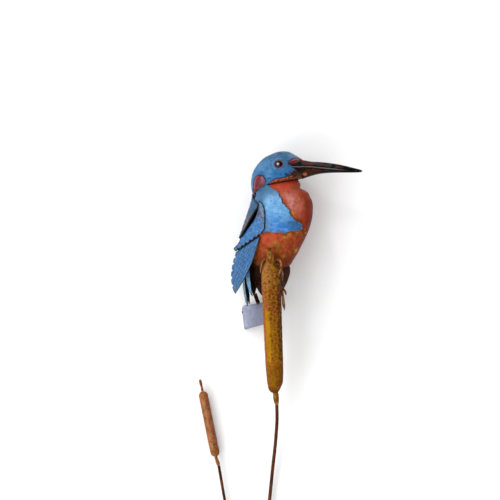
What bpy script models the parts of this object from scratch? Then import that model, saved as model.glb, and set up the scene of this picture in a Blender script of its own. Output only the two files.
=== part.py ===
"""A wall ornament in painted sheet steel: a kingfisher that clings to a tall bulrush, with a small one beside.

A Blender 4.5 script: blender --background --python part.py, or run it from Blender's text editor.

Sizes are in millimetres here and become metres in the meshes, +Z up. The wall is the plane y = 0 and the
ornament hangs in front of it, at y < 0, with the bill towards +X. The origin is the middle of the wall plate's
back face. The bird is modelled in a frame of its own: +X towards the bill, +Y to the bird's left, origin in
the middle of the body. "Right" and "left" are the bird's own, and its right side faces away from the wall.
"""

import math

import bmesh
import bpy
from mathutils import Matrix, Vector
from mathutils.geometry import delaunay_2d_cdt

METRES = 0.001  # one millimetre
SHEET = 1.0  # the steel that the plates are cut from
PATCH_SHEET = 0.9  # the thinner steel laid on the head and body
PATCH_OFF = 0.6  # clear of the round surface under it, whose facets are flatter
HEAD_PATCH_OFF = 0.9
GAP = 0.3  # left between pieces that touch
GRID = 5.0  # spacing of the points inside a plate

# The bird's frame on the wall.
BIRD_AT = (17.0, -33.0, 67.0)
BIRD_TURN = math.radians(-8)  # its bill is a little further from the wall than its tail

# Body stations from the neck down: height, back, breast, half width. The last is the round lower end.
BODY = (
    (66, -14.5, 27.9, 16.5),
    (60, -14.9, 32.4, 19.2),
    (52, -15.9, 40.7, 22.4),
    (42, -17.6, 42.9, 23.8),
    (30, -19.3, 41.7, 24.0),
    (16, -20.2, 36.9, 23.0),
    (2, -20.5, 30.3, 20.6),
    (-9, -19.9, 24.0, 17.2),
    (-17, -17.2, 18.6, 13.5),
    (-24, -10.5, 11.0, 8.0),
    (-27, 0, 0, 0),
)
BODY_RINGS = 18
BODY_AROUND = 28
NECK_SLOPE_ROWS = 2.0  # the stations over which the slant of the neck's top fades out

# Lower body, a flatter cone behind the rounded end of the body: as the table above.
VENT = (
    (-12, -18.0, 18.3, 9.5),
    (-19, -19.6, 20.4, 11.6),
    (-27, -18.4, 19.0, 12.0),
    (-36, -14.4, 15.2, 10.5),
    (-45, -8.6, 9.4, 6.8),
    (-51, 0, 0, 0),
)
VENT_RINGS = 9
VENT_AROUND = 20

# Head stations from the nape forward: place along x, virtual bottom, crown, half width. The neck line cuts the
# bottom off.
HEAD = (
    (-18.9, 67.0, 67.0, 0),
    (-17.4, 56.5, 76.8, 8.5),
    (-12.5, 50.0, 85.3, 15.0),
    (-4, 52.0, 93.3, 19.8),
    (8, 55.5, 98.2, 21.8),
    (18, 57.5, 98.3, 20.6),
    (26, 61.5, 94.6, 16.4),
    (32.5, 70.6, 90.2, 9.6),
)
HEAD_RINGS = 17
HEAD_ARC = 11  # points from crown to lip
HEAD_FLOOR = 3  # points from lip to the middle of the underside

# The bill: x, gape line, culmen, lower edge, half width.
BILL = (
    (32.8, 82.4, 90.0, 70.9, 8.6),
    (42, 82.1, 88.3, 74.0, 6.9),
    (50, 81.3, 87.8, 75.9, 5.7),
    (60, 80.3, 86.7, 76.8, 4.6),
    (71, 79.3, 84.9, 77.0, 3.5),
    (82, 78.7, 82.2, 77.0, 2.5),
    (90, 78.6, 80.2, 77.2, 1.5),
    (92.6, 78.5, 79.0, 77.9, 0.5),
)
BILL_RINGS = 16
BILL_ARC = 10

EYE_AT = (11.3, 85.1)
EYE_RADIUS = 4.1
EYE_RISE = 2.0  # how far the middle of the eye stands out of the head
EYE_OFF = 0.5

# Raised maroon patches on the head, as (x, z) outlines that are smoothed.
LORES = ((20.4, 84.9), (21.6, 88.5), (25.6, 90.9), (30.0, 90.6), (29.9, 87.6), (26.2, 85.0))
EAR = (
    (-9.6, 74.4), (-4.0, 73.4), (-1.8, 68.4), (-3.6, 64.2),
    (-8.8, 60.8), (-13.8, 58.0), (-14.6, 63.0), (-13.4, 70.4),
)

# The shoulder patch: the torn front edge from the neck to the point on the breast and back under the wing.
PATCH_EDGE = (
    (2.8, 61.8), (11.2, 57.0), (12.6, 53.4), (15.2, 50.4), (16.0, 46.6), (19.4, 43.2),
    (22.6, 39.6), (23.8, 33.6), (28.6, 29.8), (33.6, 26.0), (34.4, 23.4), (31.8, 19.3),
    (26.6, 18.6), (23.4, 19.2), (20.8, 17.5), (18.2, 16.0), (13.8, 17.5), (8.2, 17.0),
    (3.8, 17.8), (-1.2, 17.4), (-8.0, 18.6),
)
PATCH_BACK = ((-9.0, 32.0), (-10.4, 45.0))

# Wing coverts, a leaf on the flank: smooth front, torn lower edge, tip, and the edge beside the mantle.
COVERT_FRONT = ((-8.0, 48.8), (-4.6, 45.4), (-2.4, 40.0), (-1.7, 31.6), (-2.4, 21.0), (-3.8, 18.4))
COVERT_TIP = ((-33.0, -0.8), (-33.9, 1.6), (-30.4, 5.0), (-28.2, 8.2), (-26.8, 11.6))
COVERT_BACK = ((-22.2, 17.4), (-17.6, 23.5), (-12.6, 30.5), (-9.6, 38.0), (-8.8, 44.0))
COVERT_TEETH = 7
COVERT_OUT = 23.6  # the leaf's distance from the bird's middle plane at its front edge

# Flight feathers, one long blade with a toothed trailing edge.
BLADE_ROOT = (-7.4, 13.0)
BLADE_TIP = (-32.8, -43.6)
BLADE_TRAIL = 16.5  # from the line root-tip to the trailing edge
BLADE_LEAD = 3.0
BLADE_TEETH = 9
BLADE_OUT = 20.3
LEFT_BLADE_TURN = math.radians(-4.2)  # the left blade is riveted on with its tip a little further back

# Mantle, a cape over the back: height, ridge, side edge's x, half span.
MANTLE = (
    (50.5, -17.2, -15.6, 7.5),
    (44.6, -18.9, -8.2, 22.6),
    (37.4, -21.2, -11.4, 25.8),
    (30.0, -23.6, -15.8, 26.0),
    (22.7, -26.0, -20.0, 25.2),
    (15.5, -28.4, -24.4, 23.6),
    (8.0, -31.0, -28.8, 21.6),
)
MANTLE_TEETH = 8

# Tail: five strips cut from a gutter that opens forward.
TAIL_SPREAD = (9.0, 12.5)  # half-axes of the gutter, along x and y
TAIL_LINE = (  # height, middle's x
    (-5.0, -11.7), (-14.0, -15.8), (-25.0, -17.6), (-40.0, -16.6), (-57.0, -13.6),
)
# Each: from and to angle round the gutter, right side negative, height of top and tip, and the tip's share.
TAIL_FEATHERS = (
    (-84, -54, -20.0, -46.4, 0.3),
    (-51, -20, -10.0, -56.0, 0.5),
    (-17, 17, -5.0, -53.0, 0.5),
    (20, 51, -10.0, -54.5, 0.5),
    (54, 94, -20.0, -46.4, 0.15),
)
TAIL_LEAN = 14  # degrees that the outer two strips turn forward from top to tip

RIVET_AT = (-4.6, 31.0)
RIVET_RADIUS = 1.5

# Feet of bent wire that grip the tall bulrush's head. A place on a toe is an angle round the head from the
# front, to the right, a height on the wall, and how far the wire stands off the head.
TOE_RADIUS = 1.25
CLAW_RADIUS = 0.45
LEG_RADIUS = 1.7
HIP_RIGHT = (17.2, -34.0, 58.0)
ANKLE_RIGHT = (176, 51.0, 0.6)
TOES_RIGHT = (
    ((128, 55.5, 1.6), (88, 56.4, 3.2), (78, 53.0, 3.6), (66, 48.6, 1.4), (44, 43.6, 0.2)),
    ((132, 51.5, 0.3), (103, 47.2, 0.6), (92, 42.0, 0.6), (86, 36.4, 0.3)),
    ((-140, 54.6, 0.8), (-98, 55.2, 1.6), (-84, 51.6, 0.9), (-74, 45.6, 0.1)),
)
HIP_LEFT = (26.5, -31.0, 32.0)
ANKLE_LEFT = (128, 26.4, 1.4)
TOES_LEFT = (
    ((112, 25.6, 2.2), (104, 23.6, 3.2), (102, 20.8, 3.4)),
    ((112, 19.4, 0.9), (104, 13.0, 1.2), (102, 6.0, 1.4)),
    ((104, 21.4, 0.2), (96, 15.0, 0.1), (93, 9.0, 0.1)),
    ((150, 24.6, 0.2), (-176, 21.0, 0.1), (-142, 18.0, 0.1)),
)
TOE_SIDES = 6

# The tall bulrush, along its own axis from the foot of its head.
REED_FOOT = (22.6, -26.4, -75.8)
REED_TOP = (17.1, -60.0, 55.2)
REED_PROFILE = (  # share of the length, radius
    (0.0, 3.4), (0.015, 5.0), (0.04, 6.8), (0.08, 7.9), (0.2, 8.8), (0.45, 9.2), (0.72, 9.6), (0.88, 9.5),
    (0.93, 8.8), (0.965, 7.2), (0.988, 5.2), (1.0, 4.4),
)
SPIKE_LENGTH = 13.0
SPIKE_RADII = (4.3, 3.5, 3.2)
SPIKE_WALL = 0.8
SPIKE_BORE = 6.0
COLLAR_RADII = (2.6, 2.7, 2.7, 2.4, 1.7)

# The small bulrush, as the tall one.
SMALL_FOOT = (-37.6, -7.0, -142.2)
SMALL_TOP = (-51.1, -7.0, -75.9)
SMALL_RADIUS = 4.8
SMALL_SPIKE_TOP = (-53.6, -6.6, -64.1)
SMALL_COLLAR_FOOT = (-34.8, -6.8, -150.8)
SMALL_SPIKE_RADII = (1.2, 0.9, 1.1, 1.5, 1.2)
SMALL_COLLAR_RADII = (1.4, 1.3, 1.5, 1.7, 1.4)

# Round-bar stems, down to where they lie on the foot plate.
STEM_RADIUS = 1.5
STEM_ROUTE = (
    (23.9, -22.4, -88.0), (24.2, -20.0, -97.0), (24.2, -18.0, -104.2), (23.8, -16.0, -112.5),
    (22.4, -11.5, -131.0), (20.0, -8.2, -153.6), (17.6, -5.7, -178.2), (10.2, -3.8, -250.0),
    (4.3, -3.0, -310.0), (1.6, -2.8, -338.0), (1.5, -2.8, -366.0),
)
SMALL_STEM_RADIUS = 1.25
SMALL_STEM_ROUTE = (
    (-34.6, -6.8, -151.2), (-29.3, -5.8, -182.2), (-17.7, -3.9, -248.0),
    (-6.9, -2.8, -310.0), (-1.9, -2.55, -339.0), (-1.8, -2.55, -366.0),
)

# The plates against the wall.
WALL_PLATE = (19.2, 18.0)
WALL_PLATE_SHIFT = 0.4
KEYHOLE_AT = (5.2, -2.4)
KEYHOLE_RADIUS = 3.2
KEYHOLE_SLOT = (3.4, 7.2)  # width, and reach above the middle of the round hole
ARM_FOOT = (-10.6, -1.3)
ARM_END = (17.6, -37.0)
ARM_SIDES = ((-13.6, 10.4), (-7.2, 14.6))  # lower and upper edge at the foot and at the end
ARM_FOLD = (7.6, 9.8)  # where the top lip is folded back
ARM_LIP_LEAN = 0.4
ARM_FOOT_SLANT = 0.12  # the foot's fold is not quite upright
STRAP = ((1.9, -15.4, 22.9), (5.4, -20.9, 13.5))
STRAP_WIDTH = 4.0
FOOT_PLATE = (13.0, 34.0)
FOOT_PLATE_AT = (-0.2, -353.0)
CORNER = 2.5

MATERIALS = {  # colour, roughness, metallic
    "blue_paint": ((0.13, 0.35, 0.62), 0.4, 0.1),
    "orange_paint": ((0.55, 0.11, 0.05), 0.4, 0.1),
    "maroon_paint": ((0.20, 0.02, 0.03), 0.35, 0.1),
    "black_paint": ((0.02, 0.02, 0.02), 0.3, 0.1),
    "brown_patina": ((0.06, 0.03, 0.02), 0.6, 0.3),
    "reed_paint": ((0.28, 0.12, 0.02), 0.5, 0.1),
    "stem_paint": ((0.09, 0.03, 0.02), 0.5, 0.1),
    "foot_paint": ((0.25, 0.13, 0.04), 0.5, 0.1),
    "zinc": ((0.35, 0.37, 0.42), 0.45, 0.8),
    "eye_glass": ((0.01, 0.005, 0.008), 0.08, 0.0),
}


# ---- shape tools -------------------------------------------------------------------------------------------


def curve_at(rows, place, round_ends=(False, False)):
    """A smooth curve through rows, at place 0 to len(rows) - 1. At a round end the first column turns back, so
    that a table of sections closes like a ball."""
    last = len(rows) - 1
    i = min(int(place), last - 1)
    f = place - i
    a, b = rows[i], rows[i + 1]
    before = rows[i - 1] if i > 0 else beyond(a, b, round_ends[0])
    after = rows[i + 2] if i + 2 <= last else beyond(b, a, round_ends[1])
    result = []
    for p, q, r, s in zip(before, a, b, after):
        result.append(
            q + 0.5 * f * (r - p + f * (2 * p - 5 * q + 4 * r - s + f * (3 * (q - r) + s - p)))
        )
    return result


def beyond(end, inner, is_round):
    """The row that stands for what comes after the end of a table."""
    mirrored = [2 * e - i for e, i in zip(end, inner)]
    if is_round:
        mirrored[0] = inner[0]
    return mirrored


def samples(rows, count, round_ends=(False, False)):
    return [curve_at(rows, k * (len(rows) - 1) / (count - 1), round_ends) for k in range(count)]


def smooth_loop(points, per_side):
    """A closed smooth curve through the points, with per_side points for each stretch."""
    n = len(points)
    wrapped = [points[(i - 1) % n] for i in range(n + 3)]
    loop = []
    for i in range(n):
        for k in range(per_side):
            loop.append(curve_at(wrapped, 1 + i + k / per_side))
    return loop


def open_curve(points, per_side):
    """A smooth curve through the points, both ends included."""
    return samples(points, per_side * (len(points) - 1) + 1)


def build_object(name, points, faces, material, parent=None, sharp=35):
    """A closed mesh object from millimetre points, smooth but for its edges."""
    mesh = bpy.data.meshes.new(name)
    mesh.from_pydata([[METRES * c for c in p] for p in points], [], faces)
    shape = bmesh.new()
    shape.from_mesh(mesh)
    bmesh.ops.recalc_face_normals(shape, faces=shape.faces)
    shape.to_mesh(mesh)
    shape.free()
    mesh.shade_smooth()
    mesh.set_sharp_from_angle(angle=math.radians(sharp))
    mesh.materials.append(material)
    obj = bpy.data.objects.new(name, mesh)
    bpy.context.scene.collection.objects.link(obj)
    obj.parent = parent
    return obj


def skin(rings):
    """Points and faces of a tube through the rings. A ring of one point closes it to a pole, and any other end
    is closed with strips across, from each point to the one that mirrors it."""
    points = [p for ring in rings for p in ring]
    starts = []
    total = 0
    for ring in rings:
        starts.append(total)
        total += len(ring)
    faces = []
    for k in range(len(rings) - 1):
        m, n = len(rings[k]), len(rings[k + 1])
        for j in range(max(m, n)):
            a, b = starts[k] + j % m, starts[k] + (j + 1) % m
            c, d = starts[k + 1] + (j + 1) % n, starts[k + 1] + j % n
            faces.append([a, c, d] if m == 1 else [a, b, c] if n == 1 else [a, b, c, d])
    for k in (0, len(rings) - 1):
        n = len(rings[k])
        if n > 1:
            faces += [strip_across(starts[k], n, j) for j in range(n // 2)]
    return points, faces


def strip_across(start, n, j):
    corners = [j, j + 1, n - j - 1, (n - j) % n]
    return [start + c for c in dict.fromkeys(corners)]


def inside(point, loop):
    """True if the (u, v) point is in the closed loop."""
    u, v = point
    hit = False
    for (a, b), (c, d) in zip(loop, loop[1:] + loop[:1]):
        if (b > v) != (d > v) and u < a + (v - b) * (c - a) / (d - b):
            hit = not hit
    return hit


def plate(outline, surface, thickness, hole=(), creases=(), grid=GRID):
    """Points and faces of a sheet cut to a (u, v) outline: surface(u, v) is its inner face, and the sheet's
    thickness stands out on the side that surface's normal, u across v, points to."""
    outline = [tuple(p[:2]) for p in outline]
    loops = [outline] + ([list(hole)] if hole else [])
    flat = []
    edges = []
    for loop in loops:
        edges += [(len(flat) + i, len(flat) + (i + 1) % len(loop)) for i in range(len(loop))]
        flat += loop
    for crease in creases:
        edges += [(len(flat) + i, len(flat) + i + 1) for i in range(len(crease) - 1)]
        flat += crease
    flat += inner_points(loops, flat, grid)
    within_outline = 2
    places, _, kept = delaunay_2d_cdt([Vector(p) for p in flat], edges, [], within_outline, 1e-4)[:3]
    if hole:
        kept = [t for t in kept if not inside(sum((places[i] for i in t), Vector((0, 0))) / 3, hole)]
    kept = [list(t) for t in kept]
    inner = [Vector(surface(*p)) for p in places]
    outer = [p + thickness * normal_at(surface, *uv) for p, uv in zip(inner, places)]
    n = len(places)
    faces = [t[::-1] for t in kept] + [[i + n for i in t] for t in kept]
    rim = {(t[i], t[(i + 1) % 3]) for t in kept for i in range(3)}
    faces += [[a, b, b + n, a + n] for a, b in sorted(rim) if (b, a) not in rim]
    return used_only(inner + outer, faces)


def inner_points(loops, flat, grid):
    """A staggered grid of points inside the outline, outside the hole and clear of the points already there."""
    low = [min(p[i] for p in loops[0]) for i in (0, 1)]
    high = [max(p[i] for p in loops[0]) for i in (0, 1)]
    made = []
    rows = int((high[1] - low[1]) / (grid * 0.87)) + 1
    columns = int((high[0] - low[0]) / grid) + 2
    for r in range(rows):
        for c in range(columns):
            p = (low[0] + grid * (c - 0.5 * (r % 2)), low[1] + grid * 0.87 * (r + 0.5))
            if not inside(p, loops[0]) or any(inside(p, h) for h in loops[1:]):
                continue
            if all(math.dist(p, q) > 0.55 * grid for q in flat):
                made.append(p)
    return made


def normal_at(surface, u, v, step=0.05):
    across = Vector(surface(u + step, v)) - Vector(surface(u - step, v))
    along = Vector(surface(u, v + step)) - Vector(surface(u, v - step))
    return across.cross(along).normalized()


def used_only(points, faces):
    """The points that faces use, and the faces renumbered."""
    order = sorted({i for f in faces for i in f})
    number = {old: new for new, old in enumerate(order)}
    return [points[i] for i in order], [[number[i] for i in f] for f in faces]


def mirrored(points, faces):
    """The same shape on the bird's left side."""
    return [(p[0], -p[1], p[2]) for p in points], [f[::-1] for f in faces]


def turned(profile, around):
    """Points and faces of a turned shape: profile is a list of (radius, height), and radius 0 is a pole."""
    rings = []
    for radius, height in profile:
        if radius == 0:
            rings.append([(0, 0, height)])
            continue
        angles = [2 * math.pi * j / around for j in range(around)]
        rings.append([(radius * math.cos(a), radius * math.sin(a), height) for a in angles])
    return skin(rings)


def wire(route, radii, sides):
    """Points and faces of a round wire along the route, one radius for each point of it."""
    route = [Vector(p) for p in route]
    rings = []
    side = None
    for i, p in enumerate(route):
        ahead = (route[min(i + 1, len(route) - 1)] - route[max(i - 1, 0)]).normalized()
        if side is None:
            side = ahead.orthogonal()
        side = (side - ahead * side.dot(ahead)).normalized()
        other = ahead.cross(side)
        angles = [2 * math.pi * j / sides for j in range(sides)]
        rings.append([p + radii[i] * (side * math.cos(a) + other * math.sin(a)) for a in angles])
    return skin(rings)


def rounded_rectangle(width, height, middle=(0, 0), radius=CORNER, steps=4):
    loop = []
    for corner in range(4):
        start = math.pi / 2 * corner
        cu = (width / 2 - radius) * (1 if corner in (0, 3) else -1)
        cv = (height / 2 - radius) * (1 if corner in (0, 1) else -1)
        for k in range(steps + 1):
            a = start + math.pi / 2 * k / steps
            loop.append((middle[0] + cu + radius * math.cos(a), middle[1] + cv + radius * math.sin(a)))
    return loop


def standing_at(place, up):
    """A frame at a place with its +Z along up."""
    return Matrix.Translation(Vector(place)) @ Vector(up).to_track_quat("Z", "Y").to_matrix().to_4x4()


def aim(start, end):
    """A frame at start with +Z towards end, and the distance."""
    along = Vector(end) - Vector(start)
    return standing_at(start, along), along.length


def in_frame(matrix, points):
    return [matrix @ Vector(p) for p in points]


# ---- the bird's surfaces -----------------------------------------------------------------------------------


def neck_line(x):
    """Height of the seam between head and neck, which drops steeply towards the nape."""
    return 65 + 0.19 * x - 0.03 * min(x, 0) ** 2


def section_at(table, height):
    """The table's row at a height, found by halving, for tables that run downwards."""
    low, high = 0.0, len(table) - 1.0
    for _ in range(30):
        middle = (low + high) / 2
        if curve_at(table, middle, (False, True))[0] > height:
            low = middle
        else:
            high = middle
    return curve_at(table, low, (False, True))


def body_side(x, z):
    """Half width of the body at (x, z)."""
    _, back, front, half = section_at(BODY, z)
    reach = (x - (back + front) / 2) / ((front - back) / 2)
    return half * math.sqrt(max(0.0, 1 - reach * reach))


def head_side(x, z):
    """Half width of the head at (x, z)."""
    low, high = 0.0, len(HEAD) - 1.0
    for _ in range(30):
        middle = (low + high) / 2
        if curve_at(HEAD, middle, (True, False))[0] < x:
            low = middle
        else:
            high = middle
    _, bottom, top, half = curve_at(HEAD, low, (True, False))
    reach = (z - (bottom + top) / 2) / ((top - bottom) / 2)
    return half * math.sqrt(max(0.0, 1 - reach * reach))


def laid_on(side, clearance):
    """A surface over the right side of the head or body, clearance away from it."""
    return lambda x, z: (x, -side(x, z) - clearance, z)


def covert_surface(x, z):
    back = COVERT_FRONT[3][0] - x
    up = max(0.0, z - 32)
    return (x, -(COVERT_OUT - 0.2 * back - 0.0004 * back * back - 0.01 * up * up), z)


def blade_surface(x, z):
    out = BLADE_OUT - 0.18 * (BLADE_ROOT[0] - x) - 0.0006 * (z - BLADE_ROOT[1]) ** 2
    return (x, -out, z)


def mantle_surface(u, z):
    """u is the distance from the ridge across the bird, z the height."""
    row = row_for(MANTLE, z)
    share = u / row[3]
    return (row[1] + (row[2] - row[1]) * share * share, u, z)


def tail_surface(angle, z):
    middle = row_for(TAIL_LINE, z)[1]
    a = math.radians(angle)
    return (middle - TAIL_SPREAD[0] * math.cos(a), TAIL_SPREAD[1] * math.sin(a), z)


def row_for(table, height):
    """The row of a table that runs downwards, at a height, going straight on past either end."""
    clamped = min(max(height, table[-1][0]), table[0][0])
    low, high = 0.0, len(table) - 1.0
    for _ in range(30):
        middle = (low + high) / 2
        if curve_at(table, middle)[0] > clamped:
            low = middle
        else:
            high = middle
    return curve_at(table, low)


# ---- the bird's pieces -------------------------------------------------------------------------------------


def oval_ring(back, front, half, around, height):
    """A level oval section. height(x) is the height of each of its points."""
    ring = []
    for j in range(around):
        a = 2 * math.pi * j / around
        x = (back + front) / 2 + (front - back) / 2 * math.cos(a)
        ring.append((x, half * math.sin(a), height(x)))
    return ring


def body_shape():
    rings = []
    for k in range(BODY_RINGS):
        place = k * (len(BODY) - 1) / (BODY_RINGS - 1)
        z, back, front, half = curve_at(BODY, place, (False, True))
        slant = max(0.0, 1 - place / NECK_SLOPE_ROWS)
        if k == BODY_RINGS - 1:
            rings.append([((back + front) / 2, 0, z)])
            continue

        def height(x, z=z, slant=slant):
            return z + slant * (neck_line(x) - GAP - BODY[0][0])

        rings.append(oval_ring(back, front, half, BODY_AROUND, height))
    return skin(rings)


def vent_shape():
    rings = []
    for k, (z, back, front, half) in enumerate(samples(VENT, VENT_RINGS, (False, True))):
        if k == VENT_RINGS - 1:
            rings.append([((back + front) / 2, 0, z)])
        else:
            rings.append(oval_ring(back, front, half, VENT_AROUND, lambda x, z=z: z))
    return skin(rings)


def head_ring(x, bottom, top, half):
    """A section of the head: an arch from lip to lip over the crown, and a floor along the neck line."""
    middle, reach = (bottom + top) / 2, (top - bottom) / 2
    floor = max(neck_line(x), bottom + 0.02 * reach)
    end = math.acos(max(-1.0, min(1.0, (floor - middle) / reach)))
    right = []
    for j in range(HEAD_ARC + 1):
        a = end * j / HEAD_ARC
        right.append((x, -half * math.sin(a), middle + reach * math.cos(a)))
    lip = right[-1]
    for j in range(1, HEAD_FLOOR + 1):
        right.append((x, lip[1] * (1 - j / HEAD_FLOOR), lip[2]))
    return right + [(x, -y, z) for _, y, z in right[-2:0:-1]]


def head_shape():
    rows = samples(HEAD, HEAD_RINGS, (True, False))
    rings = [[(rows[0][0], 0, rows[0][1])]]
    rings += [head_ring(*row) for row in rows[1:]]
    return skin(rings)


def bill_shape(upper):
    """Half the bill: a dome over the gape line, or the keel under it."""
    rings = []
    for x, gape, culmen, keel, half in samples(BILL, BILL_RINGS):
        edge = gape + (GAP / 2 if upper else -GAP / 2)
        rise = (culmen if upper else keel) - edge
        right = []
        for j in range(BILL_ARC // 2 + 1):
            a = math.pi / 2 * j / (BILL_ARC // 2)
            right.append((x, -half * math.sin(a), edge + rise * math.cos(a)))
        right.append((x, 0, edge))
        rings.append(right + [(x, -y, z) for _, y, z in right[-2:0:-1]])
    return skin(rings)


def eye_shape():
    """A low dome whose flat back stands just off the head."""
    x, z = EYE_AT
    side = head_side(x, z)
    rings = [[(0, 0, 0)]]
    for share in (1.0, 0.96, 0.8, 0.5):
        r = EYE_RADIUS * share
        height = EYE_RISE * math.sqrt(1 - share * share)
        turns = [2 * math.pi * j / 20 for j in range(20)]
        rings.append([(r * math.cos(a), r * math.sin(a), height) for a in turns])
    rings.append([(0, 0, EYE_RISE)])
    surface = laid_on(head_side, 0)
    outward = normal_at(surface, x, z)
    points, faces = skin(rings)
    return in_frame(standing_at(Vector((x, -side, z)) + outward * EYE_OFF, outward), points), faces


def patch_outline():
    """The torn edge, the hidden back edge, and the neck line that the patch stops at."""
    top = []
    for k in range(6):
        x = -11.8 + k * (PATCH_EDGE[0][0] + 10.0) / 6
        top.append((x, neck_line(x) - 1.8))
    return top + list(PATCH_EDGE) + list(PATCH_BACK)


def torn_edge(start, end, teeth, depth):
    """Points from start to end, both left out, with rounded teeth that hang to the right of the line."""
    start, end = Vector(start), Vector(end)
    along = (end - start) / teeth
    out = Vector((along.y, -along.x)).normalized()
    points = []
    for k in range(teeth):
        for share, reach in ((0.15, -0.2), (0.6, 1.0), (0.95, 0.5)):
            points.append(tuple(start + along * (k + share) + out * depth * reach))
    return points


def covert_outline():
    front = open_curve(COVERT_FRONT, 3)
    torn = torn_edge(front[-1], COVERT_TIP[0], COVERT_TEETH, -1.3)
    return front + torn + list(COVERT_TIP) + open_curve(COVERT_BACK, 2)


def blade_outline(turn):
    """A straight leading edge down to the tip, and a toothed trailing edge back up to the root, about which the
    whole blade is turned."""
    root = Vector(BLADE_ROOT)
    reach_of_tip = Matrix.Rotation(turn, 2) @ (Vector(BLADE_TIP) - root)
    along = reach_of_tip.normalized()
    back = Vector((along.y, -along.x))  # towards the tail
    length = reach_of_tip.length
    tip = root + reach_of_tip
    lead = []
    for k in range(8):
        s = k / 8
        lead.append(tuple(root + along * length * s - back * BLADE_LEAD * math.sin(math.pi * s)))
    trail = [tuple(tip)]
    for k in range(BLADE_TEETH):
        for share, cut in ((0.12, 0.0), (0.55, 0.0), (0.9, 1.1)):
            s = 1 - (k + share) / (BLADE_TEETH + 0.2)
            reach = BLADE_TRAIL * (1 - s**3.5) ** 0.8
            trail.append(tuple(root + along * length * s + back * (reach - cut)))
    return lead + trail


def mantle_outline():
    """Down the right edge, along the toothed hem, up the left edge, and across the neck."""
    right = [(-row[3], row[0]) for row in samples(MANTLE[:6], 9)]
    neck = [(MANTLE[0][3] * share, MANTLE[0][0]) for share in (0.67, 0.33, 0, -0.33, -0.67)]
    left = [(-u, z) for u, z in right[::-1]]
    hem_end = right[-1]
    hem = []
    for k in range(MANTLE_TEETH):
        for share, drop in ((0.1, 0.3), (0.5, 2.2), (0.9, 0.3)):
            u = hem_end[0] * (1 - 2 * (k + share) / MANTLE_TEETH)
            arch = 2.0 * (1 - (u / hem_end[0]) ** 2)
            hem.append((u, hem_end[1] - arch - drop))
    return right + hem + left + neck


def feather_outline(start, end, top, tip, share):
    """A tail strip in (angle, height), narrowing a little to a blunt point that share says the place of."""
    outer = abs(start + end) > 90
    lean = math.copysign(TAIL_LEAN, start + end) if outer else 0.0
    low = tip + 9.0
    sides = 4
    middle = (start + end) / 2
    point = start + share * (end - start) + lean
    turns = [lean * k / sides * (top - low) / (top - tip) for k in range(sides + 1)]
    heights = [top + (low - top) * k / sides for k in range(sides + 1)]
    down = [(start + 0.06 * (middle - start) * k + turns[k], heights[k]) for k in range(sides + 1)]
    up = [(end + 0.06 * (middle - end) * k + turns[k], heights[k]) for k in reversed(range(sides + 1))]
    shoulders = [(point + 0.5 * (side - point), tip + 3.4) for side in (down[-1][0], up[0][0])]
    return down + [shoulders[0], (point, tip), shoulders[1]] + up


def rivet_shape():
    """A low round head that holds the wing."""
    outward = normal_at(covert_surface, *RIVET_AT)
    seat = Vector(covert_surface(*RIVET_AT)) + outward * (SHEET + GAP)
    r = RIVET_RADIUS
    points, faces = turned([(0, 0), (r, 0), (0.9 * r, 0.6), (0.5 * r, 1.0), (0, 1.1)], 12)
    return in_frame(standing_at(seat, outward), points), faces


def make_bird(materials):
    bird = bpy.data.objects.new("bird", None)
    bpy.context.scene.collection.objects.link(bird)
    bird.location = [METRES * c for c in BIRD_AT]
    bird.rotation_euler = (0, 0, BIRD_TURN)
    body = build_object("body", *body_shape(), materials["orange_paint"], bird)
    vent = build_object("vent", *vent_shape(), materials["brown_patina"], bird)
    cut_by_grown_copy(vent, body)
    build_object("head", *head_shape(), materials["blue_paint"], bird)
    build_object("bill_upper", *bill_shape(True), materials["black_paint"], bird)
    build_object("bill_lower", *bill_shape(False), materials["black_paint"], bird)
    lores = smooth_loop(LORES, 3)
    ear = smooth_loop(EAR, 3)
    on_head = laid_on(head_side, HEAD_PATCH_OFF)
    pairs = {
        "eye": (eye_shape(), "eye_glass"),
        "lores": (plate(lores[::-1], on_head, PATCH_SHEET), "maroon_paint"),
        "ear_patch": (plate(ear[::-1], on_head, PATCH_SHEET), "maroon_paint"),
        "shoulder_patch": (plate(patch_outline(), laid_on(body_side, PATCH_OFF), PATCH_SHEET), "blue_paint"),
        "wing_coverts": (plate(covert_outline(), covert_surface, SHEET), "blue_paint"),
        "wing_rivet": (rivet_shape(), "zinc"),
    }
    for name, (shape, material) in pairs.items():
        build_object(name + "_right", *shape, materials[material], bird)
        build_object(name + "_left", *mirrored(*shape), materials[material], bird)
    right_blade = plate(blade_outline(0.0), blade_surface, SHEET)
    left_blade = mirrored(*plate(blade_outline(LEFT_BLADE_TURN), blade_surface, SHEET))
    build_object("wing_primaries_right", *right_blade, materials["blue_paint"], bird)
    build_object("wing_primaries_left", *left_blade, materials["blue_paint"], bird)
    build_object("mantle", *plate(mantle_outline(), mantle_surface, -SHEET), materials["blue_paint"], bird)
    for k, feather in enumerate(TAIL_FEATHERS):
        shape = plate(feather_outline(*feather), tail_surface, -SHEET, grid=12.0)
        build_object(f"tail_feather_{k + 1}", *shape, materials["blue_paint"], bird)
    return bird


def cut_by_grown_copy(obj, other):
    """Takes the other object, grown by the gap, out of obj."""
    cutter = other.copy()
    cutter.data = other.data.copy()
    cutter.name = other.name + "_clear_of_" + obj.name
    bpy.context.scene.collection.objects.link(cutter)
    for vertex in cutter.data.vertices:
        vertex.co += vertex.normal * GAP * METRES
    cutter.hide_render = True
    cutter.display_type = "WIRE"
    difference = obj.modifiers.new("clear_of_" + other.name, "BOOLEAN")
    difference.operation = "DIFFERENCE"
    difference.object = cutter


def reed_radius(share):
    """The tall head's radius at a share of its length."""
    for (s0, r0), (s1, r1) in zip(REED_PROFILE, REED_PROFILE[1:]):
        if share <= s1:
            return r0 + (r1 - r0) * max(0.0, share - s0) / (s1 - s0)
    return REED_PROFILE[-1][1]


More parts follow.
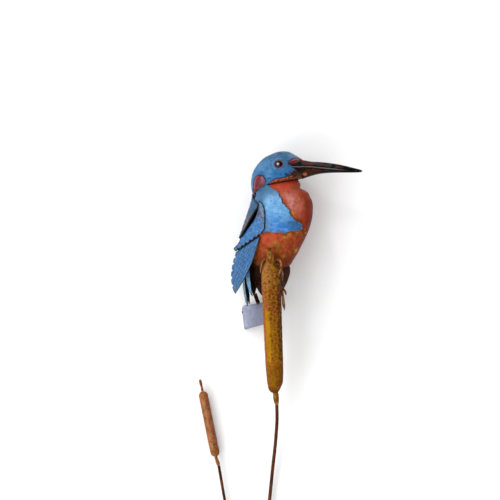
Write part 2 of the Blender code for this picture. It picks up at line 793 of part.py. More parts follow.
def beside_reed(angle, height, off):
    """Where the middle of a toe's wire is."""
    foot, top = Vector(REED_FOOT), Vector(REED_TOP)
    along = (top - foot).normalized()
    front = Vector((0, -1, 0)) + along * along.y
    right = front.normalized().cross(along) * -1
    share = (height - foot.z) / (top.z - foot.z)
    a = math.radians(angle)
    reach = reed_radius(share) + GAP + TOE_RADIUS + off
    out = front.normalized() * math.cos(a) + right * math.sin(a)
    return foot + (top - foot) * share + out * reach


def make_foot(name, hip, ankle, toes, material, body):
    """A leg wire with its toes welded to it: each toe starts inside the ankle."""
    ankle = beside_reed(*ankle)
    end = ankle + (ankle - Vector(hip)).normalized() * 0.8
    leg = build_object(name, *wire([hip, end], [LEG_RADIUS, LEG_RADIUS], TOE_SIDES), material)
    for k, toe in enumerate(toes):
        route = open_curve([ankle, *(beside_reed(*place) for place in toe)], 3)
        last = len(route) - 1
        radii = [CLAW_RADIUS if i == last else TOE_RADIUS * (1 - 0.25 * i / last) for i in range(last + 1)]
        part = build_object(f"{name}_toe_{k + 1}", *wire(route, radii, TOE_SIDES), material)
        part.hide_render = True
        part.display_type = "WIRE"
        union = leg.modifiers.new(f"toe_{k + 1}", "BOOLEAN")
        union.operation = "UNION"
        union.object = part
    cut_by_grown_copy(leg, body)
    return leg


# ---- the bulrushes and what holds them ---------------------------------------------------------------------


def make_tall_bulrush(materials):
    frame, length = aim(REED_FOOT, REED_TOP)
    profile = [(r, length * s) for s, r in REED_PROFILE]
    points, faces = turned([(0, 0), *profile, (0, length)], 24)
    build_object("bulrush_head", in_frame(frame, points), faces, materials["reed_paint"])
    low, high = length + GAP, length + GAP + SPIKE_LENGTH
    outside = [(r, low + (high - low) * k / 2) for k, r in enumerate(SPIKE_RADII)]
    bore = SPIKE_RADII[-1] - SPIKE_WALL
    spike = [(0, low), *outside, (bore, high), (bore, high - SPIKE_BORE), (0, high - SPIKE_BORE)]
    points, faces = turned(spike, 16)
    build_object("bulrush_spike", in_frame(frame, points), faces, materials["reed_paint"])
    frame, length = aim(REED_FOOT, STEM_ROUTE[0])
    points, faces = turned(collar_profile(COLLAR_RADII, length - 3 * GAP, 2 * GAP), 16)
    build_object("bulrush_collar", in_frame(frame, points), faces, materials["reed_paint"])


def collar_profile(radii, length, start):
    rows = [(r, start + length * k / (len(radii) - 1)) for k, r in enumerate(radii)]
    return [(0, start), *rows, (0, start + length)]


def make_small_bulrush(materials):
    frame, length = aim(SMALL_FOOT, SMALL_TOP)
    r = SMALL_RADIUS
    profile = [(r * math.sin(a), r * (1 - math.cos(a))) for a in (0.5, 0.85, 1.2, 1.57)]
    upper = [(r, length - h) for r, h in reversed(profile)]
    points, faces = turned([(0, 0.1), *profile, *upper, (0, length - 0.1)], 16)
    build_object("small_bulrush_head", in_frame(frame, points), faces, materials["reed_paint"])
    frame, length = aim(SMALL_TOP, SMALL_SPIKE_TOP)
    points, faces = turned(collar_profile(SMALL_SPIKE_RADII, length - GAP, GAP), 10)
    build_object("small_bulrush_spike", in_frame(frame, points), faces, materials["reed_paint"])
    frame, length = aim(SMALL_FOOT, SMALL_COLLAR_FOOT)
    points, faces = turned(collar_profile(SMALL_COLLAR_RADII, length - GAP, GAP), 10)
    build_object("small_bulrush_collar", in_frame(frame, points), faces, materials["reed_paint"])


def make_stem(name, route, radius, material):
    route = open_curve(route, 2)
    return build_object(name, *wire(route, [radius] * len(route), 8), material)


def keyhole():
    """A round hole with a slot up from it, anticlockwise from the slot's right side."""
    width, reach = KEYHOLE_SLOT
    u, v = KEYHOLE_AT
    corner = math.acos(width / 2 / KEYHOLE_RADIUS)
    round_part = []
    for k in range(13):
        a = math.pi - corner + (math.pi + 2 * corner) * k / 12
        round_part.append((u + KEYHOLE_RADIUS * math.cos(a), v + KEYHOLE_RADIUS * math.sin(a)))
    top = []
    for k in range(5):
        a = math.pi * k / 4
        top.append((u + width / 2 * math.cos(a), v + reach - width / 2 + width / 2 * math.sin(a)))
    return round_part + top


def make_wall_pieces(materials):
    on_wall = rounded_rectangle(*WALL_PLATE, (WALL_PLATE_SHIFT, 0))
    shape = plate(on_wall, lambda u, v: (u, 0, v), SHEET, hole=keyhole())
    build_object("wall_plate", *shape, materials["zinc"])
    arm = build_object("bracket_arm", *arm_shape(), materials["zinc"])
    cut_by_grown_copy(arm, bpy.data.objects["bulrush_head"])
    build_object("tail_strap", *strap_shape(), materials["brown_patina"])
    low = rounded_rectangle(*FOOT_PLATE, FOOT_PLATE_AT)
    build_object("foot_plate", *plate(low, lambda u, v: (u, 0, v), SHEET), materials["zinc"])


def arm_shape():
    """A strip from the wall plate out to the back of the bulrush, with a lip folded back along its top."""
    foot, end = Vector(ARM_FOOT), Vector(ARM_END)
    along = (end - foot).normalized()
    back = Vector((-along.y, along.x))
    length = (end - foot).length

    def surface(s, z):
        fold = ARM_FOLD[0] + (ARM_FOLD[1] - ARM_FOLD[0]) * s / length
        lean = ARM_LIP_LEAN * max(0.0, z - fold)
        slant = ARM_FOOT_SLANT * (ARM_FOLD[0] - z) * (1 - s / length)
        at = foot + along * s + back * lean + Vector((slant, 0))
        return (at.x, at.y, z)

    (low_a, high_a), (low_b, high_b) = ARM_SIDES
    fold = [(length * k / 6, ARM_FOLD[0] + (ARM_FOLD[1] - ARM_FOLD[0]) * k / 6) for k in range(7)]
    outline = [(0, low_a), (length, low_b), fold[-1], (length, high_b), (2.2, high_a), fold[0]]
    return plate(outline, surface, SHEET, creases=[fold], grid=9.0)


def strap_shape():
    """A short flat bar between the tail and the arm."""
    start, end = (Vector(p) for p in STRAP)
    along = (end - start).normalized()
    across = along.cross(Vector((0, 1, 0))).normalized() * STRAP_WIDTH / 2
    out = across.cross(along).normalized() * SHEET / 2
    rings = []
    for p in (start, end):
        rings.append([p + across + out, p + across - out, p - across - out, p - across + out])
    points = [q for ring in rings for q in ring]
    sides = [[i, (i + 1) % 4, (i + 1) % 4 + 4, i + 4] for i in range(4)]
    return points, [[3, 2, 1, 0], [4, 5, 6, 7], *sides]


# ---- the whole ornament ------------------------------------------------------------------------------------


def make_materials():
    made = {}
    for name, (colour, roughness, metallic) in MATERIALS.items():
        material = bpy.data.materials.new(name)
        material.use_nodes = True
        shader = material.node_tree.nodes["Principled BSDF"]
        shader.inputs["Base Color"].default_value = (*colour, 1)
        shader.inputs["Roughness"].default_value = roughness
        shader.inputs["Metallic"].default_value = metallic
        made[name] = material
    return made


def main():
    for obj in list(bpy.data.objects):
        bpy.data.objects.remove(obj)
    materials = make_materials()
    make_bird(materials)
    body, vent = bpy.data.objects["body"], bpy.data.objects["vent"]
    make_foot("foot_right", HIP_RIGHT, ANKLE_RIGHT, TOES_RIGHT, materials["foot_paint"], body)
    make_foot("foot_left", HIP_LEFT, ANKLE_LEFT, TOES_LEFT, materials["foot_paint"], vent)
    make_tall_bulrush(materials)
    make_small_bulrush(materials)
    make_stem("stem", STEM_ROUTE, STEM_RADIUS, materials["stem_paint"])
    make_stem("small_stem", SMALL_STEM_ROUTE, SMALL_STEM_RADIUS, materials["stem_paint"])
    make_wall_pieces(materials)


main()
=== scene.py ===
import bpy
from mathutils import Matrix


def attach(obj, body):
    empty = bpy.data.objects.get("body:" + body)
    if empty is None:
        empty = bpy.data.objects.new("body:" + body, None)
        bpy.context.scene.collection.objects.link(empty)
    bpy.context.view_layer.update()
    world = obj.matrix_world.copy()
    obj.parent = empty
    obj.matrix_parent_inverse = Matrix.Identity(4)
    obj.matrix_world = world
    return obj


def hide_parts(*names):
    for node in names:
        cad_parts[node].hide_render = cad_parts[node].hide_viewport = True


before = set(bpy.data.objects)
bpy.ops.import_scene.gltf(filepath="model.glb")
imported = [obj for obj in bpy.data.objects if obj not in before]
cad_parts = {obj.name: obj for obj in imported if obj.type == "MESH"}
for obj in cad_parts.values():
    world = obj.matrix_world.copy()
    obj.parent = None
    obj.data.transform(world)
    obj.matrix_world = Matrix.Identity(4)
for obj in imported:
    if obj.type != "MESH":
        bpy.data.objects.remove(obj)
"""The looks of a painted sheet-steel kingfisher that clings to a bulrush on a wall.

The pieces are modelled in millimetres. The bird's own frame has +X towards the bill and +Z up, and a
bulrush's has +Z along it and -Y towards the room. The wall is y = 0.
"""

from math import acos, atan2, ceil, copysign, cos, degrees, dist, exp, floor, hypot, pi, radians, sin, sqrt

import bpy
import numpy as np
from mathutils import Matrix, Vector, noise
from mathutils.geometry import delaunay_2d_cdt
from mathutils.kdtree import KDTree

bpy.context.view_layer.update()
MM = 0.001
COARSE = 1.0

# ---- sizes, as the CAD model has them ----------------------------------------------------------------------

SHEET = 1
PATCH_SHEET, PATCH_OFF = 0.9, 0.45  # thickness, and clearance from what is under it
LEAF_SHEET, LEAF_OFF = 0.9, 0.15
BIRD_AT = (17, -33, 67)
BIRD_TURN = radians(-8)

# Body and lower body: height, back, breast, half width.
BODY = (
    (66, -14.5, 27.9, 16.5), (60, -14.9, 32.4, 19.2), (52, -15.9, 40.7, 22.4), (42, -17.6, 42.9, 23.8),
    (30, -19.3, 41.7, 24), (16, -20.2, 36.9, 23), (2, -20.5, 30.3, 20.6), (-9, -19.9, 24, 17.2),
    (-17, -17.2, 18.6, 13.5), (-24, -10.5, 11, 8), (-27, 0, 0, 0),
)
NECK_SLOPE_ROWS = 2
NECK = (65, 0.19)  # height of the body's top at x = 0, and its slope
THROAT = ((0.8, 56.8, 2.2), (-3, 62, 2.1))  # how far the front stands out, height, width
VENT = (
    (-12, -18, 18.3, 9.5), (-19, -19.6, 20.4, 11.6), (-27, -18.4, 19, 12), (-36, -14.4, 15.2, 10.5),
    (-45, -8.6, 9.4, 6.8), (-51, 0, 0, 0),
)

# Gold leaf that shows through on the breast and belly: x, z, half width, half height, turn.
GOLD_FLECKS = (
    (25.8, 36.5, 1.6, 3.6, 12), (23.4, 33, 1.2, 2.4, 40), (31.2, 51.2, 0.9, 2.2, 0), (41, 52.4, 0.7, 1.5, 20),
    (7.6, 6.6, 2.2, 3, 20), (22, 15.4, 3, 1.6, 10), (17.4, 12.6, 2.4, 1.6, 30), (28.6, 17.4, 2.2, 0.9, 0),
    (-6.4, 16.6, 1, 2.4, 0), (6, 17, 3, 0.7, 8), (36.6, 17, 1.4, 0.8, 20), (16, -6, 2.4, 2, 50),
    (27, -0.5, 2.6, 1.4, 60), (-11, 1, 1.2, 3, -20), (18, 58, 1, 1, 0),
)

# Head: x, virtual bottom, crown, half width. Bill: x, gape, culmen, lower edge, half width.
HEAD = (
    (-18.9, 67, 67, 0), (-17.4, 56.5, 76.8, 8.5), (-12.5, 50, 85.3, 15), (-4, 52, 93.3, 19.8),
    (8, 55.5, 98.2, 21.8), (18, 57.5, 98.3, 20.6), (26, 61.5, 94.6, 16.4), (32.5, 70.6, 90.2, 9.6),
)
BILL = (
    (32.3, 82.4, 90, 70.9, 8.6), (42, 82.1, 88.3, 74, 6.9), (50, 81.3, 87.8, 75.9, 5.7),
    (60, 80.3, 86.7, 76.8, 4.6), (71, 79.3, 84.9, 77, 3.5), (82, 78.7, 82.2, 77, 2.5),
    (90, 78.6, 80.2, 77.2, 1.5), (92.6, 78.5, 79, 77.9, 0.5),
)
EYE_AT = (11.3, 85.1)
EYE_DOME = (3.9, 2.1)  # radius and height
EYE_RINGS = ((3.75, 4.75, 0.8), (4.6, 5.4, 0.45))  # inner and outer radius, height
BROW = (
    (-19, 70), (-16, 77.5), (-12, 84), (-6, 88.2), (0, 90.3), (8, 91.6), (16.3, 91.6), (24, 90.4), (34, 88.5),
)
LIP = (
    (-19, 58), (-6, 63), (-0.5, 65.3), (5.6, 69.2), (9.4, 70.7), (15.2, 71.3), (20, 72.6), (25.9, 74.6),
    (34, 77),
)
BUMP_AT = (36, 75.4)
LORES = ((20.4, 84.9), (21.6, 88.5), (25.6, 90.9), (30, 90.6), (29.9, 87.6), (26.2, 85))
EAR = (
    (-9.6, 74.4), (-4, 73.4), (-1.8, 68.4), (-3.6, 64.2),
    (-8.8, 60.8), (-13.8, 58), (-14.6, 63), (-13.4, 70.4),
)
PATCH_EDGE = (
    (2.8, 61.8), (11.2, 57), (12.6, 53.4), (15.2, 50.4), (16, 46.6), (19.4, 43.2),
    (22.6, 39.6), (23.8, 33.6), (28.6, 29.8), (33.6, 26), (34.4, 23.4), (31.8, 19.3),
    (26.6, 18.6), (23.4, 19.2), (20.8, 17.5), (18.2, 16), (13.8, 17.5), (8.2, 17),
    (3.8, 17.8), (-1.2, 17.4), (-8, 18.6),
)
PATCH_BACK = ((-9, 32), (-10.4, 45))

COVERT_FRONT = ((-8, 48.8), (-4.6, 45.4), (-2.4, 40), (-1.7, 31.6), (-2.4, 21), (-3.8, 18.4))
COVERT_TIP = ((-33, -0.8), (-33.9, 1.6), (-30.4, 5), (-28.2, 8.2), (-26.8, 11.6))
COVERT_BACK = ((-22.2, 17.4), (-17.6, 23.5), (-12.6, 30.5), (-9.6, 38), (-8.8, 44))
COVERT_TEETH = 7
COVERT_TEAR = 1.3  # a tooth's depth
COVERT_TOOTH = ((0.15, -0.2), (0.4, 0.5), (0.6, 1), (0.95, 0.5))  # share of its length, of its depth
COVERT_OUT = 23.6
COVERT_BEND = (0.2, 0.0004, 0.01)  # inwards with the way back, its square, and the height's square
COVERT_BEND_FROM = 32
BLADE_ROOT = (-7.4, 13)
BLADE_TIP = (-32.8, -43.6)
BLADE_TRAIL = 16.5
BLADE_LEAD = 3
BLADE_TEETH = 9
BLADE_TOOTH = ((0.04, 1.1), (0.12, 0.2), (0.35, 0), (0.6, 0), (0.8, 0.4), (0.93, 1.7))
BLADE_FEATHER = 2.7  # width of one of the long feathers
BLADE_OUT = 20.3
BLADE_BEND = (0.18, 0.0006)  # inwards with the way back, with the square of the way down
LEFT_BLADE_TURN = radians(-4.2)

# Mantle: height, ridge x, side edge x, half span. The first row is only in the looks and closes the nape.
MANTLE = (
    (56, -16.7, -16.2, 4.5), (50.5, -17.2, -15, 9.5), (44.6, -18.9, -8.2, 22.6), (37.4, -21.2, -11.4, 25.8),
    (30, -23.6, -15.8, 26), (22.7, -26, -20, 25.2), (15.5, -28.4, -24.4, 23.6), (8, -31, -28.8, 21.6),
)
MANTLE_HEM = 2  # how far the hem hangs down in the middle
MANTLE_TEETH = 8
MANTLE_TOOTH = ((0.04, 0), (0.15, 1.2), (0.35, 2), (0.5, 2.2), (0.65, 2), (0.85, 1.2), (0.96, 0))

TAIL_SPREAD = (9, 12.5)
TAIL_ARC = 0.2  # millimetres of width for a degree round the tail
TAIL_LINE = ((-5, -11.7), (-14, -15.8), (-25, -17.6), (-40, -16.6), (-57, -13.6))
TAIL_FEATHERS = (  # first and last degree round the tail, top, tip, where the point is between the sides
    (-84, -54, -20, -46.4, 0.3), (-51, -20, -10, -56, 0.5), (-17, 17, -5, -53, 0.5),
    (20, 51, -10, -54.5, 0.5), (54, 94, -20, -46.4, 0.15),
)
TAIL_LEAN = 14  # degrees by which the outer feathers swing outwards
RIVET_AT = (-4.6, 31)
RIVET_RADIUS = 1.5

TOE_RADIUS = 1.25
TOE_TAPER = 0.22
CLAW_RADIUS = 0.45
LEG_RADIUS = 1.7
KNUCKLES = ((0.16, 0.42, 0.05), (0.14, 0.74, 0.04))  # height, share of the toe's length, width
CLAW_FROM = 0.82
TOE_GAP = 0.3
HIP_RIGHT = (17.2, -34, 58)
ANKLE_RIGHT = (176, 51, 0.6)
TOES_RIGHT = (
    ((128, 55.5, 1.6), (88, 56.4, 3.2), (78, 53, 3.6), (66, 48.6, 1.4), (44, 43.6, 0.2)),
    ((132, 51.5, 0.3), (103, 47.2, 0.6), (92, 42, 0.6), (86, 36.4, 0.3)),
    ((-140, 54.6, 0.8), (-98, 55.2, 1.6), (-84, 51.6, 0.9), (-74, 45.6, 0.1)),
)
HIP_LEFT = (26.5, -31, 32)
ANKLE_LEFT = (128, 26.4, 1.4)
TOES_LEFT = (
    ((112, 25.6, 2.2), (104, 23.6, 3.2), (102, 20.8, 3.4)),
    ((112, 19.4, 0.9), (104, 13, 1.2), (102, 6, 1.4)),
    ((104, 21.4, 0.2), (96, 15, 0.1), (93, 9, 0.1)),
    ((150, 24.6, 0.2), (-176, 21, 0.1), (-142, 18, 0.1)),
)

REED_FOOT = (22.6, -26.4, -75.8)
REED_TOP = (17.1, -60, 55.2)
REED_PROFILE = (
    (0, 3.4), (0.015, 5), (0.04, 6.8), (0.08, 7.9), (0.2, 8.8), (0.45, 9.2), (0.72, 9.6), (0.88, 9.5),
    (0.93, 8.8), (0.965, 7.2), (0.988, 5.2), (1, 4.4),
)
SPIKE_LENGTH = 13
SPIKE_RADII = (4.3, 3.5, 3.2)
SPIKE_WALL = 0.7
COLLAR_RADII = (2.6, 2.7, 2.7, 2.4, 1.7)
SMALL_FOOT = (-37.6, -7, -142.2)
SMALL_TOP = (-51.1, -7, -75.9)
SMALL_RADIUS = 4.8
SMALL_SPIKE_TOP = (-53.6, -6.6, -64.1)
SMALL_COLLAR_FOOT = (-34.8, -6.8, -150.8)
SMALL_SPIKE_RADII = (1.2, 0.9, 1, 1.3, 0.9)
SMALL_COLLAR_RADII = (1.4, 1.3, 1.5, 1.7, 1.4)
STEM_RADIUS = 1.5
STEM_ROUTE = (
    (23.9, -22.4, -88), (24.2, -20, -97), (24.2, -18, -104.2), (23.8, -16, -112.5),
    (22.4, -11.5, -131), (20, -8.2, -153.6), (17.6, -5.7, -178.2), (10.2, -3.8, -250),
    (4.3, -3, -310), (1.6, -2.8, -338), (1.5, -2.8, -366),
)
SMALL_STEM_RADIUS = 1.25
SMALL_STEM_ROUTE = (
    (-34.6, -6.8, -151.2), (-29.3, -5.8, -182.2), (-17.7, -3.9, -248),
    (-6.9, -2.8, -310), (-1.9, -2.55, -339), (-1.8, -2.55, -366),
)
WALL_PLATE = (19.2, 18)
WALL_PLATE_SHIFT = 0.4
KEYHOLE_AT = (5.2, -2.4)
KEYHOLE_RADIUS = 3.2
KEYHOLE_SLOT = (3.4, 7.2)
ARM_FOOT = (-10.6, -1.3)
ARM_END = (17.6, -37)
ARM_SIDES = ((-13.6, 10.4), (-7.2, 14.6))
ARM_FOLD = (7.6, 9.8)
ARM_LIP_LEAN = 0.4
ARM_FOOT_SLANT = 0.12
ARM_SHORT = 9  # the arm ends this far before the bulrush's middle
STRAP = ((1.9, -15.4, 22.9), (5.4, -20.9, 13.5))
STRAP_WIDTH = 4
FOOT_PLATE = (13, 34)
FOOT_PLATE_AT = (-0.2, -353)
CORNER = 2.5
WELDS = (  # place, radius, height over width
    ((0.2, -1.9, -342), 1.5, 1.3), ((0.2, -1.9, -350), 1.5, 1.3), ((0.2, -1.9, -359), 1.5, 1.3),
    ((5.3, -20.2, 13.2), 2, 0.7), ((2.2, -16.2, 22), 1.5, 0.8), ((-10.1, -1.7, 4), 1.2, 1.5),
    ((-8.2, -1.6, -5), 1.1, 1.8),
)

# Only in the looks: a sheet's rim bulges by a share of its thickness, and thick paint makes the bars wider.
RIM_BULGE = 0.22
BAR_PAINT = 0.22


# ---- curves ------------------------------------------------------------------------------------------------


def curve_at(rows, place, round_ends=(False, False)):
    """A smooth curve through rows, at place 0 to the last row. At a round end the first column turns back."""
    last = len(rows) - 1
    i = min(int(place), last - 1)
    f = place - i
    a, b = rows[i], rows[i + 1]
    before = rows[i - 1] if i > 0 else beyond(a, b, round_ends[0])
    after = rows[i + 2] if i + 2 <= last else beyond(b, a, round_ends[1])
    result = []
    for p, q, r, s in zip(before, a, b, after):
        result.append(q + 0.5 * f * (r - p + f * (2 * p - 5 * q + 4 * r - s + f * (3 * (q - r) + s - p))))
    return result


def beyond(end, inner, is_round):
    """The row that a curve would have beyond its end."""
    mirrored_row = [2 * e - i for e, i in zip(end, inner)]
    if is_round:
        mirrored_row[0] = inner[0]
    return mirrored_row


def samples(rows, number, round_ends=(False, False)):
    return [curve_at(rows, k * (len(rows) - 1) / (number - 1), round_ends) for k in range(number)]


def smooth_loop(points, per_side):
    n = len(points)
    wrapped = [points[(i - 1) % n] for i in range(n + 3)]
    return [curve_at(wrapped, 1 + i + k / per_side) for i in range(n) for k in range(per_side)]


def open_curve(points, per_side):
    return samples(points, per_side * (len(points) - 1) + 1)


def circle(number):
    """The cosine and sine of angles spaced evenly round a circle."""
    return [(cos(2 * pi * j / number), sin(2 * pi * j / number)) for j in range(number)]


def arc(u, v, across, up, start, sweep, steps):
    """Points on part of an oval round (u, v), from the angle start on."""
    turns = [start + sweep * k / steps for k in range(steps + 1)]
    return [(u + across * cos(a), v + up * sin(a)) for a in turns]


def teeth(number, tooth):
    """The points of a row of teeth: the place, counted in teeth, and a point's second value."""
    return [(k + share, value) for k in range(number) for share, value in tooth]


def count(full):
    """How many points to use where the full look has this many."""
    return int(full / COARSE)


class Table:
    """A table of sections, sampled once, that gives its row at any value of its first column."""

    def __init__(self, rows, round_ends=(False, False)):
        dense = np.array(samples(rows, 600, round_ends))
        if dense[0, 0] > dense[-1, 0]:
            dense = dense[::-1]
        self.dense = dense

    def row(self, value):
        columns = self.dense.T
        return [float(np.interp(value, columns[0], c)) for c in columns]


BODY_TABLE = Table(BODY, (False, True))
HEAD_TABLE = Table(HEAD, (True, False))
MANTLE_TABLE = Table(MANTLE)
TAIL_TABLE = Table(TAIL_LINE)


def bumps(x, y, z, size, seed=0.0):
    """Smooth noise from about -1 to 1, with bumps about size across."""
    return noise.noise(Vector((x / size + seed, y / size - seed, z / size + 2 * seed)))


def fade(value, low, high):
    """0 below low, 1 above high, smooth between."""
    t = min(1.0, max(0.0, (value - low) / (high - low)))
    return t * t * (3 - 2 * t)


def hump(value, width):
    """1 where value is 0, falling away smoothly over the width on both sides."""
    return exp(-((value / width) ** 2))


def hammered(x, y, z, seed=0.0):
    """The dents and flats that a hammer leaves in sheet steel, in millimetres."""
    return 0.22 * bumps(x, y, z, 7.0, seed) + 0.1 * bumps(x, y, z, 2.6, seed + 5)


# ---- meshes ------------------------------------------------------------------------------------------------


class Shape:
    """Points, faces, a material number for each face, and named values for each point."""

    def __init__(self, points, faces, slots=None, marks=None):
        self.points = [Vector(p) for p in points]
        self.faces = faces
        self.slots = slots or [0] * len(faces)
        self.marks = marks or {}

    def mirrored(self):
        points = [(p.x, -p.y, p.z) for p in self.points]
        return Shape(points, [f[::-1] for f in self.faces], self.slots, self.marks)

    def placed(self, matrix):
        return Shape([matrix @ p for p in self.points], self.faces, self.slots, self.marks)


def together(shapes):
    """Several shapes of one material as one."""
    points, faces = [], []
    for shape in shapes:
        faces += [[i + len(points) for i in f] for f in shape.faces]
        points += shape.points
    return Shape(points, faces)


def skin(rings):
    """A closed tube through the rings. A ring of one point is a pole, and other ends get a middle point."""
    rings = [[Vector(p) for p in ring] for ring in rings]
    for end in (0, -1):
        if len(rings[end]) > 1:
            middle = sum(rings[end], Vector()) / len(rings[end])
            rings.insert(0, [middle]) if end == 0 else rings.append([middle])
    starts = np.cumsum([0] + [len(ring) for ring in rings])
    faces = []
    for k in range(len(rings) - 1):
        m, n = len(rings[k]), len(rings[k + 1])
        for j in range(max(m, n)):
            a, b = starts[k] + j % m, starts[k] + (j + 1) % m
            c, d = starts[k + 1] + (j + 1) % n, starts[k + 1] + j % n
            corners = [a, c, d] if m == 1 else [a, b, c] if n == 1 else [a, b, c, d]
            faces.append([int(i) for i in corners])
    return Shape([p for ring in rings for p in ring], faces)


def inside(points, loop):
    """For an array of (u, v) points, whether each is in the closed loop."""
    u, v = points[:, :1], points[:, 1:]
    a, b = loop[:, 0], loop[:, 1]
    c, d = np.roll(a, -1), np.roll(b, -1)
    rise = np.where(d == b, 1e-12, d - b)
    crossed = ((b > v) != (d > v)) & (u < a + (v - b) * (c - a) / rise)
    return crossed.sum(axis=1) % 2 == 1


def divided(loop, step):
    """The loop with points added so that none are more than step apart."""
    result = []
    for p, q in zip(loop, np.roll(loop, -1, axis=0)):
        parts = max(1, ceil(dist(p, q) / step))
        result += [tuple(p + (q - p) * k / parts) for k in range(parts)]
    return np.array(result)


def ragged(outline, amount, size, seed):
    """The outline with its points moved a little, as snips and a file leave it."""
    moved = []
    for u, v in divided(np.array([p[:2] for p in outline], float), 0.8):
        moved.append((u + amount * bumps(u, v, 0, size, seed), v + amount * bumps(u, v, 9, size, seed)))
    return moved


def normal_at(surface, u, v, step=0.05):
    across = Vector(surface(u + step, v)) - Vector(surface(u - step, v))
    along = Vector(surface(u, v + step)) - Vector(surface(u, v - step))
    return across.cross(along).normalized()


def sheet(outline, surface, thickness, emboss=None, grid=0.9, hole=()):
    """A sheet cut to a (u, v) outline, with a rounded rim. surface(u, v) is its inner face and the thickness
    stands out along that surface's normal. Faces get material 0 outside, 1 inside and 2 on the rim."""
    grid *= COARSE
    loops = [divided(np.array([p[:2] for p in loop], float), grid) for loop in (outline, hole) if len(loop)]
    edges = []
    for loop in loops:
        start = len(edges)
        edges += [(start + i, start + (i + 1) % len(loop)) for i in range(len(loop))]
    border = np.concatenate(loops)
    near = KDTree(len(border))
    for i, (u, v) in enumerate(border):
        near.insert((u, v, 0), i)
    near.balance()
    low, high = border.min(axis=0), border.max(axis=0)
    rows = np.arange(low[1], high[1], grid * 0.87)
    columns = np.arange(low[0], high[0] + grid, grid)
    staggered = np.array([(u + grid / 2 * (r % 2), v) for r, v in enumerate(rows) for u in columns])
    kept = inside(staggered, loops[0])
    if len(hole):
        kept &= ~inside(staggered, loops[1])
    filling = [tuple(p) for p in staggered[kept] if near.find((*p, 0))[2] > 0.6 * grid]
    flat = [Vector(p) for p in [*map(tuple, border), *filling]]
    within_outline = 2
    places, _, triangles = delaunay_2d_cdt(flat, edges, [], within_outline, 1e-5)[:3]
    if len(hole):
        centres = np.array([np.mean([places[i] for i in t], axis=0) for t in triangles])
        cut = inside(centres, loops[1])
        triangles = [t for t, out in zip(triangles, cut) if not out]
    return thickened(places, [list(t) for t in triangles], surface, thickness, emboss, near)


def thickened(places, triangles, surface, thickness, emboss, near):
    """The flat triangles laid on the surface, doubled at the thickness, and joined by a bulging rim."""
    points, normals, depth = [], [], []
    for u, v in places:
        edge = near.find((u, v, 0))[2]
        normal = normal_at(surface, u, v)
        rise = emboss(u, v, edge) if emboss else 0.0
        points.append(Vector(surface(u, v)) + normal * rise)
        normals.append(normal)
        depth.append(edge)
    n = len(points)
    rim = {(t[i], t[(i + 1) % 3]) for t in triangles for i in range(3)}
    rim = sorted((a, b) for a, b in rim if (b, a) not in rim)
    pull = {}
    for t in triangles:
        centre = sum((points[i] for i in t), Vector()) / 3
        for i in t:
            pull[i] = pull.get(i, Vector()) + points[i] - centre
    border = sorted({i for edge in rim for i in edge})
    number = {i: 2 * n + k for k, i in enumerate(border)}
    bulge = RIM_BULGE * abs(thickness)
    middle = []
    for i in border:
        out = pull[i] - normals[i] * pull[i].dot(normals[i])
        middle.append(points[i] + normals[i] * thickness / 2 + out.normalized() * bulge)
    outer = [p + q * thickness for p, q in zip(points, normals)]
    faces = [[i + n for i in t] for t in triangles] + [t[::-1] for t in triangles]
    slots = [0] * len(triangles) + [1] * len(triangles)
    for a, b in rim:
        faces += [[a, b, number[b], number[a]], [number[a], number[b], b + n, a + n]]
        slots += [2, 2]
    if thickness < 0:
        faces = [f[::-1] for f in faces]
    marks = {"edge": depth + depth + [0.0] * len(border)}
    return Shape(points + outer + middle, faces, slots, marks)


def turned(profile, around, wobble=None):
    """A turned shape from (radius, height) pairs; wobble(turn, height) is added to the radius."""
    turns = [2 * pi * j / around for j in range(around)]
    rings = []
    for radius, height in profile:
        if radius == 0:
            rings.append([(0, 0, height)])
            continue
        reach = [radius + (wobble(a, height) if wobble else 0.0) for a in turns]
        rings.append([(r * cos(a), r * sin(a), height) for r, a in zip(reach, turns)])
    return skin(rings)


def wire(route, radii, sides, roughness=0.0, seed=0.0):
    """A round wire along the route, one radius for each point of it, slightly uneven."""
    route = [Vector(p) for p in route]
    side = (route[1] - route[0]).normalized().orthogonal()
    rings = []
    for i, p in enumerate(route):
        ahead = (route[min(i + 1, len(route) - 1)] - route[max(i - 1, 0)]).normalized()
        side = (side - ahead * side.dot(ahead)).normalized()
        other = ahead.cross(side)
        ring = []
        for c, s in circle(sides):
            out = side * c + other * s
            q = p + radii[i] * out
            ring.append(q + out * roughness * bumps(*q, 2.0, seed))
        rings.append(ring)
    return skin(rings)


def bead(place, radius, flat, seed):
    """A lump of weld metal."""
    rings = []
    for k in range(1, 10):
        t = pi * k / 10
        ring = []
        for c, s in circle(18):
            out = Vector((sin(t) * c, sin(t) * s, -cos(t) * flat))
            ring.append(out * radius * (1 + 0.18 * bumps(*out, 0.6, seed)))
        rings.append(ring)
    poles = [[(0, 0, -radius * flat)], [(0, 0, radius * flat)]]
    return skin([poles[0], *rings, poles[1]]).placed(Matrix.Translation(place))


def rounded_rectangle(width, height, middle=(0, 0)):
    """A plate's outline, less what its bulging rim adds."""
    loop = []
    for corner, (right, up) in enumerate(((1, 1), (-1, 1), (-1, -1), (1, -1))):
        u = middle[0] + (width / 2 - CORNER) * right
        v = middle[1] + (height / 2 - CORNER) * up
        loop += arc(u, v, CORNER - RIM_BULGE, CORNER - RIM_BULGE, pi / 2 * corner, pi / 2, 8)
    return loop


def standing_at(place, up):
    return Matrix.Translation(Vector(place)) @ Vector(up).to_track_quat("Z", "Y").to_matrix().to_4x4()


